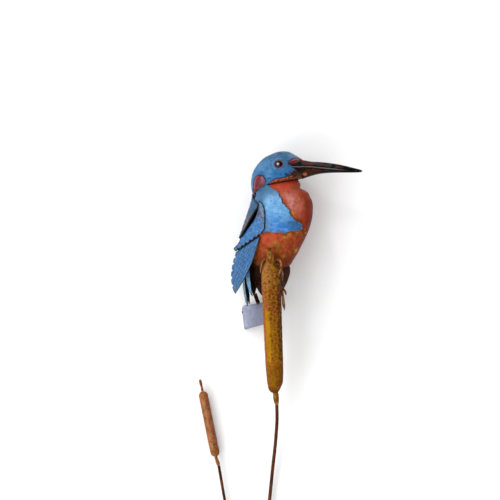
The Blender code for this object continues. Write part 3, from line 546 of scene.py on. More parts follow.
def bulrush_frame(foot, top):
    """A bulrush's frame, +Z along it and -Y towards the room, and its length."""
    foot, top = Vector(foot), Vector(top)
    along = (top - foot).normalized()
    front = (Vector((0, -1, 0)) + along * along.y).normalized()
    right = along.cross(front)
    turn = Matrix((right, -front, along)).transposed().to_4x4()
    return Matrix.Translation(foot) @ turn, (top - foot).length


BIRD_FRAME = Matrix.Translation(Vector(BIRD_AT)) @ Matrix.Rotation(BIRD_TURN, 4, "Z")
WORLD_FRAME = Matrix.Identity(4)
SHARP_ANGLE = radians(50)


def piece(name, shape, materials, place=WORLD_FRAME, node=None):
    """A mesh piece, made in the frame place. It rides on the body and stands for the CAD node, if any."""
    mesh = bpy.data.meshes.new(name)
    mesh.from_pydata([place @ p * MM for p in shape.points], [], shape.faces)
    for material in materials:
        mesh.materials.append(material)
    mesh.polygons.foreach_set("material_index", [min(s, len(materials) - 1) for s in shape.slots])
    for mark, values in shape.marks.items():
        mesh.attributes.new(mark, "FLOAT", "POINT").data.foreach_set("value", values)
    mesh.shade_smooth()
    mesh.set_sharp_from_angle(angle=SHARP_ANGLE)
    obj = bpy.data.objects.new(name, mesh)
    bpy.context.scene.collection.objects.link(obj)
    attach(obj, "root")
    if node:
        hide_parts(node)


def painted(node, shape, materials, place=WORLD_FRAME):
    """A piece that stands for the CAD node of the same name."""
    piece("painted_" + node, shape, materials, place, node)


def on_both_sides(name, shape, materials, is_node=True, left_shape=None):
    """The bird's right-hand piece and, unless the left has its own shape, the same mirrored."""
    for side, own in (("right", shape), ("left", left_shape or shape.mirrored())):
        node = f"{name}_{side}"
        piece("painted_" + node, own, materials, BIRD_FRAME, node if is_node else None)


# ---- the bird's surfaces -----------------------------------------------------------------------------------


def neck_line(x):
    return NECK[0] + NECK[1] * x - 0.03 * min(x, 0) ** 2


def half_width(row, low, high, value):
    """The half width of an oval section whose ends are low and high, at a value between them."""
    reach = (value - (low + high) / 2) / ((high - low) / 2)
    return row * sqrt(max(0.0, 1 - reach * reach))


def body_side(x, z):
    _, back, front, half = BODY_TABLE.row(z)
    return half_width(half, back, front, x)


def head_side(x, z):
    _, bottom, top, half = HEAD_TABLE.row(x)
    return half_width(half, bottom, top, z)


def laid_on(side, clearance):
    return lambda x, z: (x, -side(x, z) - clearance, z)


def covert_surface(x, z):
    back = COVERT_FRONT[3][0] - x
    up = max(0.0, z - COVERT_BEND_FROM)
    slope, curl, shoulder = COVERT_BEND
    return (x, -(COVERT_OUT - slope * back - curl * back * back - shoulder * up * up), z)


def blade_surface(x, z):
    slope, curl = BLADE_BEND
    return (x, slope * (BLADE_ROOT[0] - x) + curl * (z - BLADE_ROOT[1]) ** 2 - BLADE_OUT, z)


def mantle_surface(u, z):
    row = MANTLE_TABLE.row(z)
    share = u / row[3]
    return (row[1] + (row[2] - row[1]) * share * share, u, z)


def tail_surface(u, z):
    middle = TAIL_TABLE.row(z)[1]
    a = radians(u / TAIL_ARC)
    return (middle - TAIL_SPREAD[0] * cos(a), TAIL_SPREAD[1] * sin(a), z)


# ---- the bird's pieces -------------------------------------------------------------------------------------


def line_at(line, x):
    """Height of a line of points at x."""
    return float(np.interp(x, *zip(*line)))


def weld_seam(y):
    """A ground weld along the middle, where the two halves of a shell meet."""
    return 0.28 * hump(y, 0.7)


def body_detail(x, y, z):
    """How far the body's skin stands out of its plain section."""
    fold = 0.25 * bumps(x, y, z, 15.0, 3.0)
    return hammered(x, y, z) + fold + weld_seam(y)


def throat_step(z):
    """Under the chin the body starts with a short upright neck, and then steps out to the breast."""
    return sum(out * hump(z - middle, width) for out, middle, width in THROAT)


def body_shape():
    rows = count(130)
    rings = []
    for k in range(rows - 1):
        place = k * (len(BODY) - 1) / (rows - 1)
        z, back, front, half = curve_at(BODY, place, (False, True))
        slant = max(0.0, 1 - place / NECK_SLOPE_ROWS)
        middle, reach = (back + front) / 2, (front - back) / 2
        ring = []
        for c, s in circle(count(170)):
            out = Vector((c / reach, s / half, 0)).normalized()
            x, y = middle + reach * c, half * s
            level = z + slant * (neck_line(x) + 0.2 - BODY[0][0])
            x += throat_step(level) * max(0.0, c) ** 2
            detail = body_detail(x, y, level) * min(1.0, k / 6)
            ring.append((x + out.x * detail, y + out.y * detail, level))
        rings.append(ring)
    return skin([*rings, [(0, 0, BODY[-1][0])]])


def vent_shape():
    rings = []
    for z, back, front, half in samples(VENT, count(70), (False, True))[:-1]:
        middle, reach = (back + front) / 2, (front - back) / 2
        ring = []
        for c, s in circle(count(110)):
            detail = 1 + 0.02 * bumps(c, s, z / 14, 0.6)
            ring.append((middle + reach * c * detail, half * s * detail, z))
        rings.append(ring)
    return skin([*rings, [(0, 0, VENT[-1][0])]])


def head_detail(x, y, z):
    """The cap stands out above the brow line, the cheek above the lip, and the eye lies in a shallow dish."""
    brow = fade(z - line_at(BROW, x), -0.5, 0.5)
    cheek = fade(z - line_at(LIP, x), -0.5, 0.4)
    eye = hypot(x - EYE_AT[0], z - EYE_AT[1])
    dish = -0.5 * hump(eye - 7.0, 1.6) + 0.35 * hump(eye - 5.3, 0.9)
    ridge = 0.45 * hump(z - line_at(BROW, x) + 1.4, 1.3)
    gape = 0.4 * hump(z - 82.6, 0.8) * fade(x, 20, 26)
    side = fade(abs(y), 1.0, 5.0)
    tapering = fade(33.0 - x, 0.0, 2.0)
    raised = 0.4 * brow + 0.45 * cheek - 0.55 + dish + ridge + gape
    on_top = fade(z, 90, 96)
    seam = weld_seam(y) * fade(z, 80, 84)
    return tapering * (raised * side + hammered(x, y, z, 2.0) - 0.35 * on_top) + seam


def head_ring(x, bottom, top, half, steps, floor_steps):
    middle, reach = (bottom + top) / 2, (top - bottom) / 2
    sill = max(neck_line(x), bottom + 0.02 * reach)
    end = acos(max(-1.0, min(1.0, (sill - middle) / reach)))
    right = []
    for j in range(steps + 1):
        a = end * j / steps
        y, z = -half * sin(a), middle + reach * cos(a)
        out = Vector((0, -sin(a) / half, cos(a) / reach)).normalized()
        detail = head_detail(x, y, z) * fade(x, HEAD[0][0], -16.0)
        right.append((x, y + out.y * detail, z + out.z * detail))
    lip = right[-1]
    right += [(x, lip[1] * (1 - j / floor_steps), lip[2]) for j in range(1, floor_steps + 1)]
    return with_left_half(right)


def with_left_half(right):
    """A ring from its right half, whose ends lie in the middle."""
    return right + [(x, -y, z) for x, y, z in right[-2:0:-1]]


def head_shape():
    first, *rows = samples(HEAD, count(120), (True, False))
    return skin([[(first[0], 0, first[1])]] + [head_ring(*row, count(90), 6) for row in rows])


def bill_detail(x, z, gape, upper):
    """A bright edge along the gape, file marks, dents, and a lump of solder at the base of the lower half."""
    lift = 0.3 * hump(z - gape - (0.9 if upper else -0.9), 0.6) * fade(84 - x, 0, 10)
    dents = 0.22 * bumps(x, 0, z, 3.2, 8.0) * fade(92.6 - x, 0, 20)
    lump = 0.0 if upper else 1.1 * hump(hypot(x - BUMP_AT[0], z - BUMP_AT[1]), 1.5)
    return lift + dents + lump


def bill_shape(upper):
    """Half the bill: a dome over the gape line, or the keel under it."""
    rings = []
    quarter = count(22)
    for x, gape, culmen, keel, half in samples(BILL, count(110)):
        edge = gape + (0.06 if upper else -0.06)
        rise = (culmen if upper else keel) - edge
        right = []
        for j in range(quarter + 1):
            a = pi / 2 * j / quarter
            z = edge + rise * cos(a)
            reach = half * sin(a) ** 0.9
            at_head = HEAD_TABLE.row(32.5)
            base = half_width(at_head[3], at_head[1], at_head[2], z) - 0.1
            reach += (base - reach) * fade(38.0 - x, 0.0, 5.5) * (base > 0)
            detail = bill_detail(x, z, gape, upper) * fade(reach, 0.0, 1.2)
            right.append((x, -reach - detail, z))
        right.append((x, 0, edge))
        rings.append(with_left_half(right))
    return skin(rings)


def eye_frame(rise):
    x, z = EYE_AT
    outward = normal_at(laid_on(head_side, 0), x, z)
    return standing_at(Vector((x, -head_side(x, z), z)) + outward * rise, outward)


def eye_shapes():
    """A domed eye, the ring round it, and the paler ring that lies round that."""
    radius, rise = EYE_DOME
    profile = [(0, -0.4), (radius, -0.4), *arc(0, 0, radius, rise, 0, pi / 2, 16)[:-1], (0, rise)]
    shapes = [turned(profile, count(48)).placed(eye_frame(0.2))]
    for inner, outer, height in EYE_RINGS:
        arch = arc((inner + outer) / 2, -0.3, (inner - outer) / 2, height, 0, pi, 10)
        rings = []
        for c, s in circle(count(48)):
            uneven = 1 + 0.04 * bumps(c, s, outer, 0.5, 4)
            rings.append([(r * uneven * c, r * uneven * s, h) for r, h in arch])
        shapes.append(hoop(rings).placed(eye_frame(0.1)))
    return shapes


def hoop(rings):
    """A closed hoop through rings that are open strips, closed underneath."""
    n, m = len(rings), len(rings[0])
    faces = []
    for i in range(n):
        this, after = i * m, (i + 1) % n * m
        for j in range(m):
            beside = (j + 1) % m
            faces.append([this + j, after + j, after + beside, this + beside])
    return Shape([p for ring in rings for p in ring], faces)


def patch_outline():
    """The shoulder patch, from where it goes under the head."""
    top = [-11.8 + k * (PATCH_EDGE[0][0] + 10.0) / 6 for k in range(6)]
    return [(x, neck_line(x) + 0.1) for x in top] + list(PATCH_EDGE + PATCH_BACK)


def torn_edge(start, end):
    """The coverts' trailing edge, a line of ragged teeth."""
    start, end = Vector(start[:2]), Vector(end)
    along = (end - start) / COVERT_TEETH
    inwards = Vector((-along.y, along.x)).normalized() * COVERT_TEAR
    return [tuple(start + along * k + inwards * reach) for k, reach in teeth(COVERT_TEETH, COVERT_TOOTH)]


def covert_outline():
    front = open_curve(COVERT_FRONT, 6)
    return front + torn_edge(front[-1], COVERT_TIP[0]) + list(COVERT_TIP) + open_curve(COVERT_BACK, 4)


def blade_axes(turn):
    reach_of_tip = Matrix.Rotation(turn, 2) @ (Vector(BLADE_TIP) - Vector(BLADE_ROOT))
    along = reach_of_tip.normalized()
    return along, Vector((along.y, -along.x)), reach_of_tip.length


def blade_outline(turn):
    """A straight leading edge down to the tip, and a toothed trailing edge back up to the root."""
    root = Vector(BLADE_ROOT)
    along, back, length = blade_axes(turn)
    edge = [(s, -BLADE_LEAD * sin(pi * s)) for s in (k / 16 for k in range(16))] + [(1, 0)]
    for k, cut in teeth(BLADE_TEETH, BLADE_TOOTH):
        s = 1 - k / (BLADE_TEETH + 0.2)
        edge.append((s, BLADE_TRAIL * (1 - s**3.5) ** 0.8 - cut))
    return [tuple(root + along * length * s + back * reach) for s, reach in edge]


def blade_lines(x, z, turn):
    """How much of a raised shaft and of a groove there is here. The long feathers lie side by side."""
    along, back, length = blade_axes(turn)
    at = Vector((x, z)) - Vector(BLADE_ROOT)
    s, t = at.dot(along) / length, at.dot(back)
    across = (t + BLADE_LEAD) / BLADE_FEATHER * (1 + 0.15 * s) % 1.0
    shaft = hump(across - 0.35, 0.1)
    groove = hump(min(across, 1 - across), 0.08)
    return shaft, groove


def blade_emboss(turn):
    def rise(x, z, edge):
        shaft, groove = blade_lines(x, z, turn)
        return fade(edge, 0.0, 1.2) * (0.2 * shaft - 0.3 * groove + 0.8 * hammered(x, 0, z, 6.0))

    return rise


def scale_rims(across, along):
    """1 on the rims of small rounded feathers in staggered rows."""
    lobe = hypot((across + 0.5 * (floor(along) % 2)) % 1 - 0.5, 0.7 * (along % 1 - 0.9))
    return hump(lobe - 0.55, 0.1)


def covert_emboss(x, z, edge):
    """Small feathers in rows, hammered all over, with a rolled border."""
    scale = 0.3 * scale_rims(x / 5.2, z / 4.6) * fade(edge, 0.5, 2.5)
    return 0.35 * hump(edge - 0.9, 0.7) + scale + 1.2 * hammered(x, 0, z, 7.0) * fade(edge, 0, 1)


def mantle_emboss(u, z, edge):
    """The same with a ridge down the middle."""
    scale = 0.32 * scale_rims(u / 6.5, (z + 0.02 * u * u) / 5.5) * fade(edge, 0.8, 3.0)
    raised = scale + 0.3 * hump(edge - 0.9, 0.7) + 0.3 * hump(u, 1.0)
    return -(raised + hammered(0, u, z, 9.0) * fade(edge, 0, 1))


def patch_emboss(x, z, edge):
    """Chased dimples inside a raised border."""
    dimple = 0.16 * bumps(x, 0, z, 1.9, 12) - 0.3 * max(0.0, bumps(x, 0, z, 3.0, 14) - 0.25)
    border = 0.3 * hump(edge - 0.8, 0.5)
    under_head = 0.7 * fade(z - neck_line(x), -4.0, -0.6)
    return (dimple + 0.5 * hammered(x, 0, z, 11)) * fade(edge, 0.4, 1.6) + border * (z < 55) + under_head


def leaf_emboss(x, z, edge):
    """A pillow: flat at the rim and full in the middle."""
    return 0.9 * fade(edge, 0.2, 3.4) - 0.25 * hump(edge - 1.0, 0.5)


def mantle_outline():
    """Down the right side, along a toothed hem, up the left side and back over the neck."""
    right = [(-half, z) for z, _, _, half in samples(MANTLE[:-1], 28)]
    top_half, top = MANTLE[0][3], MANTLE[0][0]
    neck = [(top_half * share, top) for share in (0.67, 0.33, 0, -0.33, -0.67)]
    corner, low = right[-1]
    hem = []
    for k, drop in teeth(MANTLE_TEETH, MANTLE_TOOTH):
        u = corner * (1 - 2 * k / MANTLE_TEETH)
        hem.append((u, low - MANTLE_HEM * (1 - (u / corner) ** 2) - drop))
    return right + hem + [(-u, z) for u, z in right[::-1]] + neck


def outward_lean(start, end):
    """How many degrees a tail feather's tip swings out."""
    return copysign(TAIL_LEAN, start + end) if abs(start + end) > 90 else 0.0


def feather_outline(start, end, top, tip, share):
    """A tail feather that narrows downwards and ends in a blunt point."""
    lean = outward_lean(start, end)
    low = tip + 9.0
    sides = 8
    narrowing = 0.015 * (end - start)
    down, up = [], []
    for k in range(sides + 1):
        turn = lean * k / sides * (top - low) / (top - tip)
        height = top + (low - top) * k / sides
        down.append((start + narrowing * k + turn, height))
        up.append((end - narrowing * k + turn, height))
    point = start + share * (end - start) + lean
    shoulders = [(point + 0.5 * (side[-1][0] - point), tip + 3.4) for side in (down, up)]
    outline = down + [shoulders[0], (point, tip + 0.3), shoulders[1]] + up[::-1]
    return [(angle * TAIL_ARC, z) for angle, z in outline]


def feather_emboss(start, end, top, tip, share):
    """A shaft down the middle and slanting barbs on both sides."""
    lean = outward_lean(start, end)

    def rise(u, z, edge):
        side = abs(u - ((start + end) / 2 + lean * (top - z) / (top - tip)) * TAIL_ARC)
        barbs = 0.09 * sin(4.2 * (z + 1.3 * side)) * fade(edge, 0.3, 1.2)
        return -(0.35 * hump(side, 0.45) + barbs + 0.5 * hammered(u, 0, z, 15))

    return rise


def rivet_shape():
    outward = normal_at(covert_surface, *RIVET_AT)
    seat = Vector(covert_surface(*RIVET_AT)) + outward * SHEET
    dome = arc(0, 0.15, RIVET_RADIUS, 1.15, 0, pi / 2, 8)[:-1]
    return turned([(0, -0.2), (RIVET_RADIUS, -0.2), *dome, (0, 1.3)], 28).placed(standing_at(seat, outward))


def reed_radius(share):
    """The tall head's radius as the CAD model has it."""
    return line_at(REED_PROFILE, share)


def beside_reed(angle, height, off):
    """A place by the tall bulrush: degrees from its front, height in the room, millimetres off its skin."""
    foot, top = Vector(REED_FOOT), Vector(REED_TOP)
    turned_to = bulrush_frame(foot, top)[0].to_3x3() @ Matrix.Rotation(radians(angle), 3, "Z")
    share = (height - foot.z) / (top.z - foot.z)
    reach = reed_radius(share) + TOE_GAP + TOE_RADIUS + off
    return foot + (top - foot) * share + turned_to @ Vector((0, -reach, 0))


def foot_shape(hip, ankle, toes):
    """A leg with its toes welded on, each with a knuckle or two and a tapered claw."""
    ankle = beside_reed(*ankle)
    sides = count(16)
    leg = open_curve([Vector(hip), Vector(hip).lerp(ankle, 0.5), ankle], 8)
    parts = [wire(leg, [LEG_RADIUS] * len(leg), sides, 0.12), bead(ankle, 2.1, 0.9, 3.0)]
    for k, toe in enumerate(toes):
        route = open_curve([ankle, *(beside_reed(*place) for place in toe)], 9)
        last = len(route) - 1
        radii = []
        for i in range(last + 1):
            share = i / last
            knuckle = sum(height * hump(share - middle, width) for height, middle, width in KNUCKLES)
            claw = fade(share, CLAW_FROM, 1)
            radii.append((TOE_RADIUS * (1 - TOE_TAPER * share) + knuckle) * (1 - claw) + CLAW_RADIUS * claw)
        parts.append(wire(route, radii, sides, 0.06, k))
    return together(parts)


# ---- the bulrushes and the metalwork -----------------------------------------------------------------------

REED_HEIGHT = (Vector(REED_TOP) - Vector(REED_FOOT)).length
STRIPE = (-50, -16, 12, 88)  # the smooth stripe on the tall bulrush: turns from the front, then heights
DENT_PITCH = (26.0, 4.7)  # degrees round, millimetres along
DENT_ROWS = (37, 124)
DENT_ODDS = ((0, 0.7, 2.0), (5, 0.7, 3.0), (9, 0.7, 4.0))  # noise that moves a dent and makes it weaker
REED_MIDDLE_RADIUS = 9.2


def reed_turn(a):
    """Degrees from the front towards the right, for an angle round the bulrush's own axes."""
    return (degrees(a) + 270) % 360 - 180


def reed_dent(turn, height):
    """How deep a punched dent is here, 0 to 1. The stripe and the lowest part have none."""
    pitch_round, pitch_along = DENT_PITCH
    column = floor(turn / pitch_round)
    row = height / pitch_along + 0.5 * (column % 2)
    lifted, shifted, weaker = (bumps(column, floor(row), *odd) for odd in DENT_ODDS)
    along = (row % 1 - 0.5) * pitch_along + 1.5 * lifted
    across = radians(turn - (column + 0.5) * pitch_round) * REED_MIDDLE_RADIUS + 1.7 * shifted
    strength = min(1.0, max(0.15, 0.75 + 1.1 * weaker))
    plain = height < STRIPE[3] and not STRIPE[1] - 4 < turn < 130
    if plain or not DENT_ROWS[0] < height < DENT_ROWS[1]:
        return 0.0
    return strength * hump(along, 1.45) * hump(across, 1.2)


def reed_wobble(a, height):
    """Uneven steel, punched dents, and a foot that is crushed on one side and rounder on the other."""
    turn = reed_turn(a)
    uneven = 0.16 * bumps(cos(a), sin(a), height / 9, 0.8, 1.0)
    crushed = 2.4 * fade(12 - height, 0, 12) * hump(turn - 85, 38)
    rounder = 0.9 * fade(9 - height, 0, 7) * fade(height, 0, 1.2) * (1 - 0.6 * fade(turn, -20, 60))
    return uneven + rounder - 0.6 * reed_dent(turn, height) - crushed


def reed_shape():
    rows = samples(REED_PROFILE, count(300))
    heights = np.linspace(0, REED_HEIGHT, len(rows))
    radii = np.interp(heights / REED_HEIGHT, *np.array(rows).T)
    shape = turned([(0, 0), *zip(radii, heights), (0, REED_HEIGHT)], count(150), reed_wobble)
    shape.marks["dent"] = [reed_dent(reed_turn(atan2(p.y, p.x)), p.z) for p in shape.points]
    return shape


def spike_shape():
    """A rolled tube with an open, crimped top."""
    low, high = REED_HEIGHT + 0.1, REED_HEIGHT + 0.3 + SPIKE_LENGTH
    shares = [k / 24 for k in range(25)]
    outside = [(np.interp(2 * s, (0, 1, 2), SPIKE_RADII), low + (high - 0.3 - low) * s) for s in shares]
    bore = SPIKE_RADII[2] - SPIKE_WALL
    inside_top = [(bore, high - depth) for depth in (0.1, 1, 3, 6)]
    profile = [(0, low), *outside, (SPIKE_RADII[2] - 0.2, high), *inside_top, (0, high - 6)]

    def wobble(a, height):
        crimp = 0.25 * fade(height, low + 2, high) * abs(cos(a + 0.4))
        return 0.14 * bumps(cos(a), sin(a), height / 5, 0.7, 6.0) - crimp

    return turned(profile, count(56), wobble)


def collar_shape(radii, length, start):
    """A short crimped sleeve where a head meets its stem."""
    rows = 22
    places = np.linspace(0, len(radii) - 1, rows + 1)
    sleeve = [radius + BAR_PAINT for radius in np.interp(places, range(len(radii)), radii)]
    sleeve[0] -= 0.12
    sleeve[-1] -= 0.12
    side = [(radius, start + length * k / rows) for k, radius in enumerate(sleeve)]
    profile = [(0, start), *side, (0, start + length)]
    return turned(profile, count(40), lambda a, h: 0.1 * bumps(cos(a), sin(a), h / 3, 0.6, 7.0))


def small_reed_shape():
    """A thin tube with round ends, pitted all over."""
    length = (Vector(SMALL_TOP) - Vector(SMALL_FOOT)).length
    r = SMALL_RADIUS
    cap = [(r * sin(a), r * (1 - cos(a))) for a in (0.25, 0.5, 0.75, 1.0, 1.25, 1.57)]
    sides = [(r, h) for h in np.linspace(r + 0.5, length - r - 0.5, count(120))]
    profile = [(0, 0), *cap, *sides, *[(q, length - h) for q, h in cap[::-1]], (0, length)]

    def wobble(a, h):
        pitted = -0.3 * max(0.0, bumps(cos(a) * r, sin(a) * r, h, 1.5, 4.0) - 0.1)
        return pitted - 0.16 + 0.12 * bumps(cos(a), sin(a), h / 8, 0.8, 2.0)

    return turned(profile, count(84), wobble)


def stem_shape(route, radius, seed):
    """A round bar, faintly wavy, as it comes off the bender."""
    route = samples(route, count(240))
    return wire(route, [radius + BAR_PAINT] * len(route), count(20), 0.08, seed)


def keyhole():
    """A round hole with a slot up from it, anticlockwise from the slot's right side."""
    width, reach = KEYHOLE_SLOT
    corner = acos(width / 2 / KEYHOLE_RADIUS)
    hole = arc(*KEYHOLE_AT, KEYHOLE_RADIUS, KEYHOLE_RADIUS, pi - corner, pi + 2 * corner, 32)
    u, v = KEYHOLE_AT
    return hole + arc(u, v + reach - width / 2, width / 2, width / 2, 0, pi, 10)


def hammered_flat(u, v, edge):
    return 0.5 * abs(hammered(u, 0, v, 21)) * fade(edge, 0.0, 1.5)


def arm_shape():
    """A strip from the wall plate out to the back of the bulrush, with a lip folded back along its top."""
    foot, end = Vector(ARM_FOOT), Vector(ARM_END)
    along = (end - foot).normalized()
    back = Vector((-along.y, along.x))
    length = (end - foot).length

    def surface(s, z):
        fold = ARM_FOLD[0] + (ARM_FOLD[1] - ARM_FOLD[0]) * s / length
        lean = ARM_LIP_LEAN * max(0.0, z - fold)
        slant = ARM_FOOT_SLANT * (ARM_FOLD[0] - z) * (1 - s / length)
        at = foot + along * s + back * lean + Vector((slant, 0))
        return (at.x, at.y, z)

    (low_a, high_a), (low_b, high_b) = ARM_SIDES
    reach = length - ARM_SHORT
    outline = [(0, low_a + 0.8), (0.8, low_a), (reach, low_b), (reach, high_b)]
    outline += [(2.2, high_a), (0.2, ARM_FOLD[0])]
    return sheet(outline, surface, SHEET, lambda s, z, edge: -abs(hammered_flat(s, z, edge)))


def strap_shape():
    """A short flat bar with rounded edges between the tail and the arm."""
    start, end = (Vector(p) for p in STRAP)
    along = (end - start).normalized()
    across = along.cross(Vector((0, 1, 0))).normalized()
    out = across.cross(along).normalized()
    rings = []
    for k in range(25):
        ring = []
        for c, s in circle(28):
            u = copysign(abs(c) ** 0.35, c) * (STRAP_WIDTH / 2 - 0.06)
            v = copysign(abs(s) ** 0.35, s) * (SHEET / 2 - 0.04)
            dent = abs(0.1 * bumps(u, v, k, 3.0, 5.0))
            sunk = 0.4 * dent if v > 0 else -0.4 * dent
            ring.append(start.lerp(end, k / 24) + across * (u - dent) + out * (v - sunk))
        rings.append(ring)
    return skin(rings)


# ---- materials ---------------------------------------------------------------------------------------------

LIT = 1.4  # how bright a white surface is that faces the light
COAT_ROUGHNESS = 0.22


def srgb(red, green, blue):
    """The linear colour of a paint that looks like these 0 to 255 values in the light of the room."""
    return tuple(((c / 255 + 0.055) / 1.055) ** 2.4 / LIT for c in (red, green, blue))


class Tree:
    """The nodes of a material or of the world."""

    def __init__(self, owner):
        owner.use_nodes = True
        self.nodes = owner.node_tree.nodes
        self.links = owner.node_tree.links

    def node(self, kind, inputs=None, **settings):
        node = self.nodes.new("ShaderNode" + kind)
        for key, value in settings.items():
            setattr(node, key, value)
        self.set(node, inputs or {})
        return node

    def set(self, node, inputs):
        for key, value in inputs.items():
            self.plug(node.inputs[key], value)

    def plug(self, socket, value):
        if isinstance(value, Number):
            value = value.socket
        if isinstance(value, bpy.types.NodeSocket):
            self.links.new(value, socket)
        elif isinstance(value, tuple):
            socket.default_value = (*value, 1) if socket.type == "RGBA" else value
        else:
            socket.default_value = value

    def maths(self, operation, first, second=0.0):
        return Number(self, self.node("Math", {0: first, 1: second}, operation=operation).outputs[0])

    def step(self, value, low, high):
        node = self.node("MapRange", {0: value, 1: low, 2: high}, interpolation_type="SMOOTHSTEP")
        return Number(self, node.outputs[0])


class Number:
    """A number that the nodes work out at each point."""

    def __init__(self, tree, socket):
        self.tree = tree
        self.socket = socket

    def __add__(self, other):
        return self.tree.maths("ADD", self, other)

    def __sub__(self, other):
        return self.tree.maths("SUBTRACT", self, other)

    def __rsub__(self, other):
        return self.tree.maths("SUBTRACT", other, self)

    def __mul__(self, other):
        return self.tree.maths("MULTIPLY", self, other)

    def __truediv__(self, other):
        return self.tree.maths("DIVIDE", self, other)

    __radd__ = __add__
    __rmul__ = __mul__

    def above(self, level, soft=0.5):
        """1 above the level and 0 below it."""
        return self.tree.step(self, level - soft, level + soft)

    def below(self, level, soft=0.5):
        return 1 - self.above(level, soft)

    def between(self, low, low_soft, high, high_soft):
        return self.above(low, low_soft) * self.below(high, high_soft)


class Paint(Tree):
    """A painted metal, made from noise and lines in millimetres in the frame place."""

    def __init__(self, name, colour, roughness=0.42, coat=0.05, metallic=0.0, shine=0.2, place=BIRD_FRAME):
        self.material = bpy.data.materials.new(name)
        super().__init__(self.material)
        self.shader = self.nodes["Principled BSDF"]
        self.set(self.shader, {"Coat Weight": coat, "Coat Roughness": COAT_ROUGHNESS, "Metallic": metallic})
        self.set(self.shader, {"Specular IOR Level": shine})
        self.roughness = roughness
        world = self.node("TexCoord").outputs["Object"]
        back = place.inverted()
        there = {"Vector": world, "Location": tuple(back.translation), "Rotation": tuple(back.to_euler())}
        self.at = self.node("Mapping", {**there, "Scale": (1 / MM,) * 3}).outputs[0]
        split = self.node("SeparateXYZ", {0: self.at}).outputs
        self.x, self.y, self.z = (Number(self, socket) for socket in split)
        self.colour = srgb(*colour)
        self.height = None

    def noise(self, size, detail=3.0, stretch=(1.0, 1.0, 1.0), seed=0.0):
        """Clouds about size across, longer where stretch is more than 1, from 0 to 1 about 0.5."""
        scale = tuple(1 / (size * s) for s in stretch)
        at = self.node("VectorMath", {0: self.at, 1: scale, 2: (seed,) * 3}, operation="MULTIPLY_ADD")
        inputs = {"Vector": at.outputs[0], "Scale": 1.0, "Detail": detail}
        return Number(self, self.node("TexNoise", inputs).outputs[0])

    def drift(self, amount, *noise, **more):
        """The same clouds, from minus half the amount to half the amount."""
        return (self.noise(*noise, **more) - 0.5) * amount

    def turn(self):
        """Degrees from the front towards the right, in a bulrush's frame."""
        return self.maths("ARCTAN2", self.x, self.y * -1) * (180 / pi)

    def mark(self, name):
        return Number(self, self.node("Attribute", attribute_name=name).outputs["Fac"])

    def line(self, points):
        """The height of a line of (x, z) points at this place's x."""
        (x0, x1), (z0, z1) = ((min(p[i] for p in points), max(p[i] for p in points)) for i in (0, 1))
        node = self.node("FloatCurve", {1: (self.x - x0) / (x1 - x0)})
        curve = node.mapping.curves[0]
        places = [((x - x0) / (x1 - x0), (z - z0) / (z1 - z0)) for x, z in points]
        curve.points[0].location, curve.points[1].location = places[0], places[-1]
        for place in places[1:-1]:
            curve.points.new(*place)
        for point in curve.points:
            point.handle_type = "VECTOR"
        node.mapping.update()
        return Number(self, node.outputs[0]) * (z1 - z0) + z0

    def spot(self, x, z, width, height, turn=0.0, rough=0.5, soft=0.35):
        """1 in an oval patch with a ragged edge, on both sides of the piece."""
        a = radians(turn)
        u = (self.x - x) * cos(a) + (self.z - z) * sin(a)
        v = (self.z - z) * cos(a) - (self.x - x) * sin(a)
        squares = (u / width) * (u / width) + (v / height) * (v / height)
        reach = self.maths("SQRT", squares)
        size = 0.8 * min(width, height) + 0.6
        return (reach + (self.noise(size, 2, seed=x + z) - 0.5) * (2.6 * rough)).below(1.0, soft)

    def over(self, colour, mask):
        """Lays a colour over what is there, where mask is 1."""
        mixed = self.node("Mix", {0: mask}, data_type="RGBA")
        self.set(mixed, {6: self.colour, 7: srgb(*colour)})
        self.colour = mixed.outputs[2]

    def dab(self, share, colour, *spot, **more):
        """Lays a share of a colour over a spot."""
        self.over(colour, self.spot(*spot, **more) * share)

    def flecks(self, share, colour, level, soft, *noise, where=1.0, **more):
        """Lays a share of a colour where clouds rise above a level."""
        self.over(colour, self.noise(*noise, **more).above(level, soft) * where * share)

    def raised(self, height):
        """Adds to the bump, in millimetres."""
        self.height = height if self.height is None else self.height + height

    def done(self, gloss=0.16, grain=0.12):
        """Finishes the material. gloss is how much its roughness changes from place to place, and grain is
        the height of the brush marks in millimetres."""
        self.plug(self.shader.inputs["Base Color"], self.colour)
        rough = (self.noise(3.0, 3, seed=40) - 0.5) * gloss + self.roughness
        self.plug(self.shader.inputs["Roughness"], rough)
        self.raised((self.noise(0.9, 2, seed=50) - 0.5) * grain)
        bump = self.node("Bump", {"Height": self.height, "Distance": MM, "Strength": 0.8})
        self.plug(self.shader.inputs["Normal"], bump.outputs[0])
        return self.material


def patchy(paint, colours, size, seed=0.0, stretch=(1.0, 1.0, 1.0), amount=0.8):
    """Clouds of several colours over a paint."""
    for k, colour in enumerate(colours):
        paint.flecks(amount, colour, 0.54, 0.08, size, 4, stretch, seed + 7.3 * k)


def plain_paint(name, colour, clouds, flecks=(), **finish):
    """A paint with clouds in it, as patchy takes them, and rows of flecks over it, as Paint.flecks does."""
    p = Paint(name, colour, **finish)
    patchy(p, *clouds)
    for row in flecks:
        p.flecks(*row)
    return p.done()


def dark_edges_and_specks(paint, colour, depth=0.6, specks=0.66, where=1.0):
    """Dark edges, and specks where the paint is knocked off."""
    edge = (paint.mark("edge") + paint.drift(1.4, 1.6, 2, seed=3)).below(depth, 0.3)
    paint.over(colour, edge * where)
    paint.flecks(0.75, colour, specks, 0.03, 1.5, 3, seed=9)


def above_neck(p):
    """Millimetres above the line where the head meets the body."""
    return p.z - NECK[0] - p.x * NECK[1]


